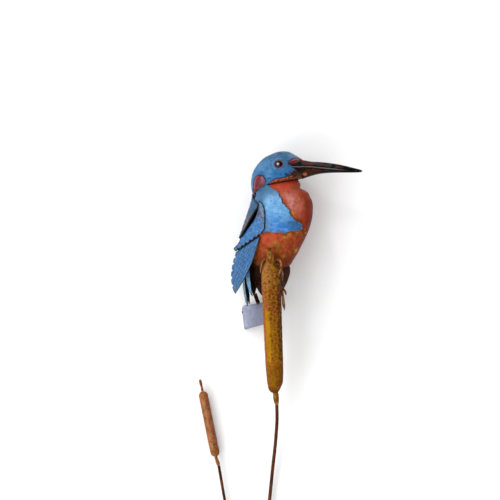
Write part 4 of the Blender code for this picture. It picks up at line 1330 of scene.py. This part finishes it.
def head_paint():
    p = Paint("head_blue_paint", (58, 122, 174), shine=0.13)
    patchy(p, ((76, 134, 178), (50, 106, 154)), 5, 1, (1.4, 1, 0.8), 0.7)
    above_lip = p.z - p.line(LIP)
    p.over((40, 116, 182), above_lip.below(9, 4) * p.x.above(0, 5) * 0.8)
    p.dab(0.35, (98, 148, 188), 4, 88.6, 8, 2.2, 22, 0.9)
    p.dab(0.35, (104, 152, 190), -5, 83, 3, 7, -35, 0.9)
    p.dab(0.5, (92, 148, 196), 2, 76, 3.6, 6, -10, 0.9)
    p.flecks(0.6, (40, 88, 134), 0.6, 0.06, 2.6, 4, (1.6, 1, 0.8), 71)
    ragged_by = p.drift(1.2, 2, 2, seed=4)
    above_brow = p.z - p.line(BROW) + ragged_by
    cap = above_brow.above(0.6, 0.4)
    p.over((48, 106, 150), above_brow.above(0, 0.7))
    p.flecks(0.85, (40, 88, 128), 0.5, 0.1, 5, 4, (1.6, 1, 0.7), 8, where=cap)
    p.flecks(0.5, (92, 146, 182), 0.58, 0.07, 3, 4, (1.8, 1, 0.6), 82, where=cap)
    p.dab(0.7, (96, 140, 182), 25, 92.6, 6, 3, -25)
    # painted highlight: a pale pink spot on the forehead
    p.dab(1, (188, 150, 168), 31, 91.6, 1.7, 1.1, -30)
    p.dab(1, (34, 62, 104), 19.5, 74.6, 2.6, 1.5)
    p.dab(0.8, (44, 88, 136), 13.4, 75, 1.6, 0.9, 20)
    p.dab(0.7, (36, 66, 104), 2, 71, 1.8, 1, 20)
    across, up = p.x - EYE_AT[0], p.z - EYE_AT[1]
    off_eye = p.maths("SQRT", across * across + up * up)
    p.flecks(0.4, (112, 154, 192), 0.5, 0.1, 3, 2, seed=6, where=off_eye.between(5.2, 0.4, 7.2, 0.9))
    p.over((64, 108, 150), off_eye.between(7.3, 0.4, 8.6, 0.6) * 0.35)
    lip = above_lip.below(-0.2, 0.5) * p.x.above(-1, 0.8)
    p.over((158, 78, 34), lip)
    p.flecks(1, (112, 36, 24), 0.48, 0.06, 2.6, 3, seed=5, where=lip)
    p.flecks(0.7, (190, 138, 62), 0.55, 0.08, 2.4, 2, seed=2, where=lip * above_lip.above(-1.7, 0.4))
    p.over((52, 30, 44), above_lip.between(-0.3, 0.35, 1, 0.5) * p.x.above(4, 3) * 0.85)
    p.dab(1, (126, 32, 44), 30.4, 89.7, 3.4, 1.7, -20, 0.3)
    brown = p.spot(31, 76, 8.6, 4.4, 8)
    p.over((62, 28, 16), brown)
    p.flecks(1, (168, 100, 44), 0.6, 0.05, 1.8, 3, seed=11, where=brown)
    black_top = p.line(((20, 84.2), (26, 86), (34, 91.4)))
    black_low = p.line(((20, 83.2), (26, 81), (34, 74)))
    under_top = (black_top - p.z + ragged_by * 0.5).above(0, 0.4)
    wedge = under_top * (p.z - black_low + ragged_by * 0.6).above(0, 0.5) * p.x.above(23.4, 0.8)
    p.over((20, 18, 20), wedge)
    p.over((128, 122, 130), wedge * p.z.between(82.1, 0.25, 83.1, 0.25) * 0.8)
    # painted shade: a dark band along the head's lower rim, where it overhangs the throat
    p.over((66, 24, 16), above_neck(p).below(0.7, 0.4) * p.x.above(-1, 1))
    p.dab(1, (104, 26, 38), -14.4, 58.4, 2, 3.6, 20, 0.2, 0.2)
    p.raised(p.drift(0.5, 2.4, 3, seed=14))
    return p.done()


def bill_paint():
    p = Paint("bill_black_paint", (12, 9, 9), 0.34, 0.03, shine=0.07)
    patchy(p, ((34, 30, 32),), 4, 2, (2.2, 1, 1), 0.6)
    gape = p.line(((32, 82.4), (42, 82.1), (50, 81.3), (60, 80.3), (71, 79.3), (82, 78.7), (93, 78.5)))
    off = p.z - gape
    # painted highlight: lighter grey flecks along the top of the bill
    p.flecks(0.7, (74, 70, 76), 0.46, 0.1, 3.4, 3, (2.4, 1, 1), 81, where=off.above(2.6, 0.8))
    bright = off.between(0.3, 0.25, 1.1, 0.25) * p.x.below(72, 8)
    p.over((134, 124, 130), bright * (0.55 + p.noise(5, 2, seed=3) * 0.6))
    rust = p.noise(4.6, 4, (1.7, 1, 0.9), 5).above(0.56, 0.05)
    p.over((112, 50, 30), rust * off.above(2.2, 0.5) * p.x.below(70, 8) * 0.85)
    p.over((60, 26, 14), rust * off.below(-0.8, 0.5) * p.x.below(64, 6))
    low = p.noise(3.4, 3, seed=8).above(0.47, 0.06) * off.below(-1, 0.5) * p.x.below(52, 5)
    p.over((66, 30, 14), low * 0.8)
    p.dab(1, (112, 34, 38), 33.6, 88.4, 3.4, 1.1, -22, 0.5)
    # painted highlight: a light orange-brown dab on the lump of solder
    p.dab(1, (178, 108, 66), *BUMP_AT, 1.8, 1.6, rough=0.2)
    low = p.x.below(46, 4) * off.below(-0.5, 0.4)
    p.flecks(0.7, (120, 78, 50), 0.66, 0.04, 1.5, 2, seed=9, where=low)
    p.raised(p.drift(0.35, 1.8, 3, (2, 1, 1), 4))
    return p.done(0.2)


def maroon_paint():
    p = Paint("maroon_paint", (116, 28, 38), 0.32, 0.2)
    patchy(p, ((86, 24, 32), (140, 50, 58)), 4, 3)
    # painted highlight: a pale pink-violet spot on the upper front of the ear patch
    p.dab(0.75, (160, 112, 138), -4.6, 70, 2, 3.4, 0, 0.3, 0.8)
    p.dab(0.7, (164, 60, 72), 25, 89, 3.2, 0.7, 24, 0.5)
    p.dab(0.4, (152, 52, 62), -9, 69, 2.4, 1.4, 60)
    dark_edges_and_specks(p, (44, 22, 34), 0.5, 0.7)
    return p.done()


def body_paint():
    p = Paint("body_orange_paint", (182, 76, 42), 0.42, 0, shine=0.04)
    patchy(p, ((158, 56, 28), (196, 88, 56), (166, 76, 34)), 7, 4, (1, 1, 1.3), 0.7)
    # painted highlight: a pinkish sheen on the breast, in two layers
    p.dab(0.85, (214, 124, 112), 24, 49, 13, 8, -52, 0.6, 0.8)
    p.dab(0.6, (232, 166, 156), 25, 46.5, 7, 4, -60, 0.6, 0.8)
    p.flecks(0.5, (200, 88, 56), 0.54, 0.1, 5.6, 3, seed=72, where=p.z.above(24, 8))
    # painted highlight: brighter orange-red on the left of the belly, which faces the light
    p.dab(0.8, (206, 84, 60), 4, 11, 9, 6, 0, 0.6, 0.6)
    # painted shade: the lower front of the body, away from the light, is darkened
    painted_shade_low_front = (p.x * 0.5 + p.z * -0.35).above(13.5, 9)
    p.over((98, 26, 2), painted_shade_low_front * 0.92)
    p.over((112, 46, 14), (p.x + p.z * 0.7).below(1, 8) * p.z.below(6, 6) * 0.35)
    p.over((104, 42, 14), p.z.below(-6, 7) * 0.6)
    tail_side = p.z + p.x * 0.5 + p.drift(6, 6, 2, seed=74)
    p.over((100, 64, 26), tail_side.below(-14, 6) * p.x.below(2, 5) * 0.85)
    p.over((26, 16, 10), tail_side.below(-19, 6) * p.x.below(2, 5) * 0.9)
    # painted shade: the breast's front edge, turned from the light, is darker red, and near black lower down
    p.over((140, 38, 20), (p.x + p.z * -0.12).above(32, 4) * 0.8)
    p.over((72, 12, 0), (p.x + p.z * -0.3).above(33, 5) * p.z.below(32, 9) * 0.8)
    for x, z, width, height, turn in GOLD_FLECKS:
        p.dab(0.8, (186, 116, 48), x, z, width, height, turn, 1.1, 0.6)
        p.dab(0.6, (206, 160, 80), x, z, 0.5 * width, 0.5 * height, turn, 0.9, 0.6)
    p.flecks(0.7, (184, 116, 30), 0.6, 0.12, 3.4, 5, seed=12, where=p.z.below(24, 8))
    p.flecks(0.45, (124, 42, 20), 0.56, 0.1, 5, 4, seed=15)
    p.dab(0.6, (150, 118, 36), 10, 4, 3, 3.6, 0, 0.9, 0.5)
    # painted shade: the back under the mantle and wings is near black, so the gaps between them look dark
    p.over((24, 12, 9), (p.x + p.z * -0.62).below(-24, 4) * p.z.below(44, 4))
    nape_edge = p.line(((-20, 40), (-6, 40), (-2, 52), (1, 60), (5, 70)))
    nape = (nape_edge - p.z).below(0, 0.6) * p.x.below(4, 0.6)
    p.over((84, 130, 166), nape)
    p.flecks(0.7, (118, 164, 202), 0.5, 0.08, 3.6, 4, seed=16, where=nape)
    p.over((112, 30, 40), nape * p.spot(-13.6, 57, 2.6, 4.6, -10, 0.2, 0.3))
    throat = above_neck(p).above(-3, 1.5) * p.x.above(3, 2)
    p.over((200, 64, 46), throat * 0.7)
    p.dab(0.7, (216, 74, 52), 18, 63, 5, 4, 10, 0.8, 0.8)
    # painted shade: a dark band on the top of the body, under the rim of the head
    p.over((70, 24, 16), above_neck(p).above(-0.9, 0.4) * 0.8)
    p.over((60, 22, 14), p.y.between(-0.35, 0.15, 0.35, 0.15) * 0.5)
    p.raised(p.drift(0.7, 3, 3, seed=14))
    return p.done()


def shoulder_paint():
    p = Paint("shoulder_blue_paint", (88, 162, 228))
    p.over((126, 186, 234), p.z.above(40, 12) * 0.9)
    p.over((30, 112, 204), p.z.below(29, 9) * 0.85)
    patchy(p, ((66, 138, 208), (140, 194, 236)), 4.2, 6, (1.5, 1, 0.8), 0.35)
    p.flecks(0.5, (158, 204, 240), 0.58, 0.1, 3.4, 3, (1.7, 1, 0.7), 73, where=p.z.above(36, 8))
    p.over((60, 108, 150), (p.x + p.z * -0.2).below(-13, 5) * 0.85)
    p.over((68, 116, 156), (p.z + p.x * -0.1).above(54, 6) * 0.9)
    p.over((92, 134, 172), p.x.below(3.5, 2) * p.z.below(32, 4) * 0.6)
    p.dab(0.75, (36, 84, 128), 28, 25, 8, 3.6, -24, 0.9, 0.8)
    p.flecks(0.6, (52, 104, 158), 0.62, 0.04, 1.6, 3, seed=17)
    dark_edges_and_specks(p, (46, 66, 76), 0.7, 0.7, p.z.below(56, 3) * p.x.above(-2, 3))
    rim = p.mark("edge").below(0.6, 0.2) * p.z.below(50, 3) * p.x.above(0, 3)
    p.flecks(0.85, (156, 116, 62), 0.48, 0.06, 2.4, 3, seed=84, where=rim)
    p.raised(p.drift(0.8, 2.6, 3, (1.3, 1, 0.8), 18))
    return p.done()


def covert_paint():
    p = Paint("covert_blue_paint", (68, 138, 208))
    patchy(p, ((98, 160, 216), (48, 108, 172), (60, 124, 184)), 3.4, 8, amount=0.75)
    p.over((96, 130, 160), (p.x + p.z * 0.2).above(-0.5, 2) * 0.6)
    # painted highlight: a light grey streak just behind the coverts' front edge
    p.dab(0.7, (146, 160, 176), -5.6, 40, 1.2, 6, 10)
    p.over((84, 128, 168), p.z.below(8, 6) * 0.5)
    p.flecks(0.7, (56, 86, 118), 0.6, 0.04, 1.8, 3, seed=19)
    p.flecks(0.8, (128, 92, 82), 0.64, 0.03, 2, 3, seed=23)
    p.dab(0.8, (134, 84, 60), -8.6, 35, 1.8, 3.4, -30, 0.8)
    dark_edges_and_specks(p, (30, 34, 42), 0.55, 0.7)
    p.raised(p.drift(0.5, 1.8, 3, seed=24))
    return p.done()


def blade_paint():
    p = Paint("blade_blue_paint", (60, 124, 188))
    along = (0.6, 1, 5)
    p.at = p.node("VectorRotate", {0: p.at, 3: radians(-24)}, rotation_type="Y_AXIS").outputs[0]
    patchy(p, ((88, 150, 208), (46, 98, 152), (78, 118, 160)), 2, 9, along, 0.8)
    p.flecks(0.6, (40, 80, 128), 0.58, 0.06, 0.9, 3, along, 13)
    p.flecks(0.75, (32, 58, 92), 0.4, 0.12, 2.6, 3, along, 75, where=p.mark("groove").above(0.5, 0.3))
    p.flecks(0.6, (132, 174, 212), 0.45, 0.12, 2.2, 3, along, 76, where=p.mark("shaft").above(0.6, 0.3))
    p.over((86, 122, 152), p.z.below(-28, 10) * 0.3)
    p.flecks(0.7, (112, 96, 104), 0.62, 0.05, 3.4, 4, (0.7, 1, 1.6), 27)
    p.over((150, 184, 214), p.mark("edge").below(1.4, 0.5) * (p.x + p.z * -0.55).above(-8, 3) * 0.6)
    # painted shade: the blade is near black where it lies under the coverts' hem
    above_coverts_hem = p.z - p.x * 0.657 - 18
    p.over((12, 18, 28), above_coverts_hem.above(0, 0.7) * 0.92)
    dark_edges_and_specks(p, (40, 58, 76), 0.45, 0.72)
    p.raised(p.drift(0.4, 1.4, 3, along, 28))
    return p.done()


def mantle_paint():
    p = Paint("mantle_blue_paint", (40, 82, 116), 0.48, 0.02, shine=0.08)
    patchy(p, ((78, 118, 146), (34, 62, 88)), 2.8, 10, amount=0.8)
    bare = p.z.between(16, 6, 34, 5) * p.noise(3.6, 4, seed=29).above(0.52, 0.05)
    p.over((130, 108, 104), bare * 0.9)
    p.flecks(0.8, (118, 74, 58), 0.55, 0.05, 1.8, 3, seed=31, where=bare)
    p.over((62, 110, 156), p.z.above(40, 4) * 0.5)
    p.flecks(0.6, (44, 64, 80), 0.62, 0.04, 1.8, 3, seed=33)
    # the dark edges are partly wear and partly painted shade, where the mantle's hem stands off the coverts
    dark_edges_and_specks(p, (30, 34, 38), 0.65, 0.7, p.z.below(49, 2))
    p.raised(p.drift(0.5, 2, 3, seed=34))
    return p.done()


def tail_paint():
    p = Paint("tail_blue_paint", (116, 166, 204), 0.45)
    patchy(p, ((146, 186, 216), (74, 122, 162)), 2.2, 11, (1, 1, 4), 0.8)
    p.over((96, 152, 172), p.z.below(-40, 6) * 0.5)
    p.flecks(0.7, (40, 60, 84), 0.6, 0.05, 1.6, 3, (1, 1, 2), 35)
    dark_edges_and_specks(p, (30, 40, 54), 0.4, 0.72)
    return p.done()


def brown_patina(name, colour, other, light):
    p = Paint(name, colour, 0.65, 0, shine=0.02)
    patchy(p, (other, light), 5, 12, (1, 1, 1.6), 0.8)
    p.flecks(0.7, (14, 9, 9), 0.6, 0.05, 2.2, 3, seed=37)
    p.raised(p.drift(0.5, 2, 3, seed=38))
    return p


def vent_paint():
    p = brown_patina("vent_brown_patina", (42, 22, 17), (62, 32, 22), (30, 15, 12))
    p.over((76, 48, 38), p.x.above(8, 5) * p.z.below(-18, 5) * 0.8)
    # painted highlight: a pale sheen streak down the right of the vent
    p.dab(0.5, (108, 82, 72), 12, -27, 2, 8, 10, 0.5, 0.6)
    p.dab(0.75, (92, 66, 32), -10, -13, 8, 3.6, -20, 0.8, 0.8)
    p.dab(0.7, (46, 30, 16), -10, -20, 6, 6, 0, 0.8, 0.8)
    return p.done()


def inner_paint():
    return brown_patina("inner_brown_patina", (34, 19, 16), (54, 30, 20), (24, 13, 12)).done()


def reed_paint(place):
    p = Paint("reed_ochre_paint", (142, 84, 18), 0.5, 0, shine=0.04, place=place)
    patchy(p, ((160, 98, 22), (120, 62, 10), (152, 86, 34)), 5, 14, (1, 1, 1.6), 0.75)
    turn = p.turn() + p.drift(9, 6, 3, seed=41)
    first, last, low, high = STRIPE
    # painted highlight: pinkish on the upper left of the bulrush head
    p.over((158, 92, 44), turn.below(-28, 12) * p.z.above(90, 5) * 0.6)
    slanting = p.z + turn * 0.12 + p.noise(4, 3, seed=42) * 6
    stripe = turn.between(first, 3, last, 3) * p.z.above(low + 18, 7) * slanting.below(high - 2, 1.5)
    p.over((184, 132, 0), stripe * 0.95)
    p.flecks(0.7, (158, 104, 0), 0.54, 0.06, 3.4, 4, (1, 1, 3), 44, where=stripe)
    p.over((168, 76, 50), turn.between(-86, 4, -56, 4) * p.z.between(24, 8, 100, 5) * 0.85)
    p.over((152, 104, 0), p.z.between(20, 12, 74, 8) * turn.above(-14, 6) * 0.75)
    hollow = p.mark("dent") + p.drift(0.8, 1.8, 3, seed=77)
    p.over((112, 56, 10), hollow.above(0.45, 0.3) * 0.75)
    blotches = p.noise(2.2, 4, seed=78).above(0.56, 0.05) * p.z.above(36, 4) * turn.above(-20, 8)
    p.over((112, 52, 14), blotches * (0.3 + p.z.above(78, 10) * 0.4))
    # painted shade: the right side, away from the light, is dark brown
    p.over((74, 24, 0), turn.above(38, 18) * 0.85)
    foot = p.z.below(31, 2)
    yellow = foot * turn.below(40, 12)
    p.over((140, 78, 6), foot * turn.above(-56, 10) * 0.7)
    p.flecks(0.7, (152, 110, 0), 0.5, 0.06, 2.6, 4, (1, 1, 2.4), 79, where=yellow)
    ring = (p.z + p.drift(3, 4, 3, seed=46)).between(32.2, 0.7, 34.6, 0.7)
    p.flecks(0.85, (166, 78, 22), 0.42, 0.08, 3, 2, seed=80, where=ring)
    p.flecks(0.6, (98, 58, 10), 0.56, 0.06, 1.3, 2, (8, 8, 1), 47, where=foot)
    # painted highlight: pale pink flecks on the upper left, below the spike
    top = p.z.above(112, 3) * turn.below(0, 24)
    p.flecks(0.7, (172, 120, 90), 0.52, 0.06, 2.4, 4, seed=48, where=top)
    p.flecks(0.7, (160, 118, 24), 0.52, 0.06, 3, 4, seed=43, where=p.z.above(112, 6))
    p.over((72, 40, 14), p.z.below(5, 3) * 0.6)
    p.flecks(0.6, (84, 42, 20), 0.62, 0.03, 2, 4, seed=49)
    undented = p.mark("dent").below(0.2, 0.15) * p.z.above(30, 4)
    p.flecks(0.6, (182, 126, 30), 0.56, 0.05, 2, 4, seed=51, where=undented)
    p.raised(p.drift(0.5, 2.2, 3, seed=52))
    return p.done()


def small_reed_paint(place):
    p = Paint("small_reed_paint", (172, 104, 66), 0.48, 0.02, shine=0.1, place=place)
    patchy(p, ((190, 118, 80), (132, 72, 34)), 3.4, 16, (1, 1, 1.8), 0.75)
    turn = p.turn()
    lit = turn.between(-34, 14, 6, 12)
    p.flecks(0.6, (180, 138, 84), 0.45, 0.1, 4, 3, (1, 1, 3), 55, where=lit)
    p.over((152, 92, 30), p.z.below(9, 3) * 0.8)
    p.over((176, 104, 52), p.z.above(60, 3) * 0.8)
    p.flecks(0.7, (88, 46, 26), 0.6, 0.04, 1.7, 4, seed=56)
    # painted shade: the right side, away from the light, is darker
    p.over((120, 66, 36), turn.above(40, 20) * 0.5)
    return p.done()


def spike_paint():
    clouds = (((118, 66, 2), (172, 134, 40), (120, 56, 4)), 3, 15, (1, 1, 1.8), 0.85)
    dark = (0.7, (78, 46, 16), 0.6, 0.04, 1.6, 4, (1, 1, 1), 53)
    pale = (0.6, (190, 150, 120), 0.64, 0.03, 1.8, 3, (1, 1, 1), 54)
    finish = {"roughness": 0.46, "coat": 0.02, "shine": 0.08}
    return plain_paint("spike_olive_paint", (144, 96, 12), clouds, (dark, pale), **finish)


def stem_paint():
    clouds = (((66, 34, 24), (120, 68, 46)), 4, 17, (1, 1, 3), 0.8)
    dark = (0.6, (40, 22, 18), 0.6, 0.04, 1.6, 4, (1, 1, 1), 57)
    finish = {"roughness": 0.5, "coat": 0, "shine": 0.03}
    return plain_paint("stem_brown_paint", (92, 46, 28), clouds, (dark,), **finish)


def foot_paint():
    clouds = (((182, 132, 40), (92, 42, 14), (150, 92, 36)), 2.8, 18, (1, 1, 1), 0.85)
    pink = (0.8, (200, 128, 100), 0.58, 0.04, 2.6, 3, (1, 1, 1), 58)
    dark = (0.8, (44, 22, 10), 0.6, 0.04, 1.6, 4, (1, 1, 1), 59)
    return plain_paint("foot_ochre_paint", (138, 76, 26), clouds, (pink, dark))


def zinc_metal():
    p = Paint("zinc_plate", (170, 177, 204), 0.42, 0, 0.3, place=WORLD_FRAME)
    patchy(p, ((178, 186, 208), (146, 148, 172)), 6, 19, amount=0.7)
    p.flecks(0.35, (182, 190, 206), 0.58, 0.05, 0.8, 3, (10, 1, 1), 60)
    p.flecks(0.5, (110, 106, 124), 0.62, 0.04, 2.4, 4, seed=61)
    # painted shade: the metalwork is darker towards the right, away from the light
    p.over((120, 122, 142), p.x.above(-1, 8) * 0.8)
    p.raised(p.drift(0.25, 1.6, 3, (3, 1, 1), 62))
    return p.done()


def eye_black():
    p = Paint("eye_black", (8, 6, 10), 0.08, 0.35)
    p.flecks(0.5, (26, 14, 20), 0.6, 0.1, 1.4, 2, seed=63)
    x, z = EYE_AT
    # painted highlight: a pale glint dot on the eye, with a softer pale halo round it
    p.dab(0.5, (150, 170, 200), x - 0.5, z + 0.1, 1.5, 1.5, rough=0, soft=0.6)
    p.dab(1, (216, 228, 240), x - 0.5, z + 0.2, 0.8, 0.8, rough=0, soft=0.5)
    p.shader.inputs["Coat Roughness"].default_value = 0.03
    return p.done(0.02, 0)


# ---- the ornament ------------------------------------------------------------------------------------------

INNER = inner_paint()
ZINC = zinc_metal()
STEEL_CLOUDS = (((58, 60, 68), (44, 30, 26)), 1.6, 13)
RIM = plain_paint("raw_steel_rim", (36, 36, 42), STEEL_CLOUDS, roughness=0.45, coat=0.1, metallic=0.4)


def make_head():
    painted("head", head_shape(), [head_paint()], BIRD_FRAME)
    black = bill_paint()
    for half in ("upper", "lower"):
        painted("bill_" + half, bill_shape(half == "upper"), [black], BIRD_FRAME)
    eye, ring, lid = eye_shapes()
    pinks = (((176, 92, 116), (70, 18, 40)), 1.6, 20)
    pink = plain_paint("eye_ring_maroon", (146, 58, 86), pinks, roughness=0.4, coat=0.1)
    blue = plain_paint("eye_lid_blue", (84, 130, 176), (((124, 160, 196), (48, 84, 130)), 1.8, 21))
    on_both_sides("eye", eye, [eye_black()])
    on_both_sides("eye_ring", ring, [pink], is_node=False)
    on_both_sides("eye_lid", lid, [blue], is_node=False)
    maroon = maroon_paint()
    on_head = laid_on(head_side, LEAF_OFF)
    for name, outline in (("lores", LORES), ("ear_patch", EAR)):
        leaf = sheet(smooth_loop(outline, 8)[::-1], on_head, LEAF_SHEET, leaf_emboss, 0.55)
        on_both_sides(name, leaf, [maroon, INNER, RIM])


def make_body():
    painted("body", body_shape(), [body_paint()], BIRD_FRAME)
    painted("vent", vent_shape(), [vent_paint()], BIRD_FRAME)
    outline = ragged(patch_outline(), 0.75, 1.9, 5)
    patch = sheet(outline, laid_on(body_side, PATCH_OFF), PATCH_SHEET, patch_emboss, 0.8)
    blue = shoulder_paint()
    on_both_sides("shoulder_patch", patch, [blue, INNER, blue])


def make_wings():
    coverts = sheet(ragged(covert_outline(), 0.2, 2, 6), covert_surface, SHEET, covert_emboss)
    on_both_sides("wing_coverts", coverts, [covert_paint(), INNER, RIM])
    right, left = (blade_sheet(turn) for turn in (0, LEFT_BLADE_TURN))
    materials = [blade_paint(), INNER, RIM]
    on_both_sides("wing_primaries", right, materials, left_shape=left.mirrored())
    on_both_sides("wing_rivet", rivet_shape(), [ZINC])
    mantle = sheet(mantle_outline(), mantle_surface, -SHEET, mantle_emboss)
    blue = mantle_paint()
    painted("mantle", mantle, [blue, INNER, blue], BIRD_FRAME)


def blade_sheet(turn):
    shape = sheet(ragged(blade_outline(turn), 0.15, 1.8, 7), blade_surface, SHEET, blade_emboss(turn), 0.6)
    lines = [blade_lines(p.x, p.z, turn) for p in shape.points]
    shape.marks["shaft"], shape.marks["groove"] = zip(*lines)
    return shape


def make_tail():
    materials = [tail_paint(), INNER, RIM]
    for k, feather in enumerate(TAIL_FEATHERS):
        shape = sheet(feather_outline(*feather), tail_surface, -SHEET, feather_emboss(*feather), 0.7)
        painted(f"tail_feather_{k + 1}", shape, materials, BIRD_FRAME)
    strap = brown_patina("strap_brown_patina", (46, 26, 20), (66, 40, 30), (28, 18, 16)).done()
    painted("tail_strap", strap_shape(), [strap])


def make_feet():
    ochre = foot_paint()
    painted("foot_right", foot_shape(HIP_RIGHT, ANKLE_RIGHT, TOES_RIGHT), [ochre])
    painted("foot_left", foot_shape(HIP_LEFT, ANKLE_LEFT, TOES_LEFT), [ochre])


def make_bulrushes():
    olive = spike_paint()
    tall, _ = bulrush_frame(REED_FOOT, REED_TOP)
    small, _ = bulrush_frame(SMALL_FOOT, SMALL_TOP)
    ochre = small_reed_paint(small)
    painted("bulrush_head", reed_shape(), [reed_paint(tall)], tall)
    painted("bulrush_spike", spike_shape(), [olive], tall)
    piece("painted_small_head", small_reed_shape(), [ochre], small, "small_bulrush_head")
    sleeves = (
        ("bulrush_collar", COLLAR_RADII, REED_FOOT, STEM_ROUTE[0], olive),
        ("small_bulrush_spike", SMALL_SPIKE_RADII, SMALL_TOP, SMALL_SPIKE_TOP, olive),
        ("small_bulrush_collar", SMALL_COLLAR_RADII, SMALL_FOOT, SMALL_COLLAR_FOOT, ochre),
    )
    for name, radii, start, end, paint in sleeves:
        place, length = bulrush_frame(start, end)
        painted(name, collar_shape(radii, length - 0.1, 0.1), [paint], place)
    brown = stem_paint()
    stems = (("stem", STEM_ROUTE, STEM_RADIUS), ("small_stem", SMALL_STEM_ROUTE, SMALL_STEM_RADIUS))
    for k, (name, route, radius) in enumerate(stems):
        painted(name, stem_shape(route, radius, k), [brown])


def make_wall_pieces():
    def upright(u, v):
        return (u, -0.02, v)

    on_wall = rounded_rectangle(*WALL_PLATE, (WALL_PLATE_SHIFT, 0))
    plate = sheet(on_wall, upright, SHEET - 0.1, hammered_flat, 0.7, keyhole())
    painted("wall_plate", plate, [ZINC])
    painted("bracket_arm", arm_shape(), [ZINC])
    low = sheet(rounded_rectangle(*FOOT_PLATE, FOOT_PLATE_AT), upright, SHEET - 0.1, hammered_flat)
    painted("foot_plate", low, [ZINC])
    clouds = (((110, 96, 84), (48, 34, 28)), 1.4, 22)
    steel = plain_paint("weld_metal", (70, 58, 50), clouds, roughness=0.4, coat=0.2, metallic=0.5)
    for k, (place, radius, flat) in enumerate(WELDS):
        piece(f"weld_bead_{k + 1}", bead(place, radius, flat, k), [steel])


# ---- the room ----------------------------------------------------------------------------------------------

CAMERA_AT = (-0.003, -2.234, 0.067)
CAMERA_LENS = 158.4
TARGET = Vector((0.02, 0.0, 0.05))
KEYS = (((-0.6, -0.66, -0.56), 6.0), ((-0.6, -0.72, 0.34), 3.0))  # direction and power
KEY_DISTANCE = 1.3
KEY_SIZE = 0.78
FRONT_AT = Vector((-0.44, -0.87, 1.05))
FRONT_SIZE = 0.16
FRONT_POWER = 2.0
AMBIENT_LEFT = 1.35
AMBIENT_RIGHT = 0.52
GLOSS_SHARE = 0.1  # how bright the room is in reflections
ROOM = ((-2, -3, -1.2), (2, 0.0002, 2))  # two corners; the wall lies just behind y = 0
WALL_WHITE = 0.94


def flat_stage(name, corners, material):
    mesh = bpy.data.meshes.new(name)
    mesh.from_pydata(corners, [], [[0, 1, 2, 3]])
    mesh.materials.append(material)
    obj = bpy.data.objects.new(name, mesh)
    bpy.context.scene.collection.objects.link(obj)


def wall_material():
    """White plaster on the room's side. From behind it is not there, nor for light off a plate that lies on
    it, so the plates' backs are lit in views from behind."""
    material = bpy.data.materials.new("white_wall")
    tree = Tree(material)
    shader = tree.nodes["Principled BSDF"]
    tree.set(shader, {"Base Color": (WALL_WHITE,) * 3, "Roughness": 0.9, "Specular IOR Level": 0.0})
    clear = tree.node("BsdfTransparent").outputs[0]
    behind = tree.node("NewGeometry").outputs["Backfacing"]
    touching = tree.maths("LESS_THAN", tree.node("LightPath").outputs["Ray Length"], 0.5 * MM)
    hidden = tree.maths("MAXIMUM", behind, touching)
    mixed = tree.node("MixShader", {0: hidden, 1: shader.outputs[0], 2: clear}).outputs[0]
    tree.set(tree.nodes["Material Output"], {"Surface": mixed})
    return material


def area_light(name, place, target, size, power):
    light = bpy.data.lights.new(name, "AREA")
    light.size = size
    light.energy = power
    obj = bpy.data.objects.new(name, light)
    obj.location = place
    obj.rotation_euler = (Vector(target) - Vector(place)).to_track_quat("-Z", "Y").to_euler()
    bpy.context.scene.collection.objects.link(obj)


def make_room():
    white = wall_material()
    (left, front, low), (right, back, high) = ROOM
    foot = [(left, back, low), (right, back, low)]
    flat_stage("wall", [*foot, (right, back, high), (left, back, high)], white)
    flat_stage("floor", [(left, front, low), (right, front, low), *foot[::-1]], white)
    for k, (direction, power) in enumerate(KEYS):
        area_light(f"key_{k + 1}", TARGET + Vector(direction) * KEY_DISTANCE, TARGET, KEY_SIZE, power)
    area_light("front", FRONT_AT, TARGET, FRONT_SIZE, FRONT_POWER)
    scene = bpy.context.scene
    scene.world = soft_world()
    scene.view_settings.view_transform = "Standard"
    camera = bpy.data.cameras.new("camera")
    camera.lens = CAMERA_LENS
    holder = bpy.data.objects.new("camera", camera)
    holder.location = CAMERA_AT
    holder.rotation_euler = (pi / 2, 0, 0)
    scene.collection.objects.link(holder)
    scene.camera = holder


def soft_world():
    """Even light, brighter from the left and dim in reflections."""
    world = bpy.data.worlds.new("soft_room")
    tree = Tree(world)
    direction = tree.node("TexCoord").outputs["Generated"]
    rightward = tree.node("SeparateXYZ", {0: direction}).outputs["X"]
    sides = {"From Min": -1, "From Max": 1, "To Min": AMBIENT_LEFT, "To Max": AMBIENT_RIGHT}
    ambient = tree.node("MapRange", {"Value": rightward, **sides}).outputs[0]
    glossy = tree.node("LightPath").outputs["Is Glossy Ray"]
    share = tree.node("MapRange", {"Value": glossy, "To Min": 1.0, "To Max": GLOSS_SHARE}).outputs[0]
    strength = tree.maths("MULTIPLY", ambient, share)
    tree.set(tree.nodes["Background"], {"Color": (1, 1, 1), "Strength": strength})
    return world


make_head()
make_body()
make_wings()
make_tail()
make_feet()
make_bulrushes()
make_wall_pieces()
make_room()
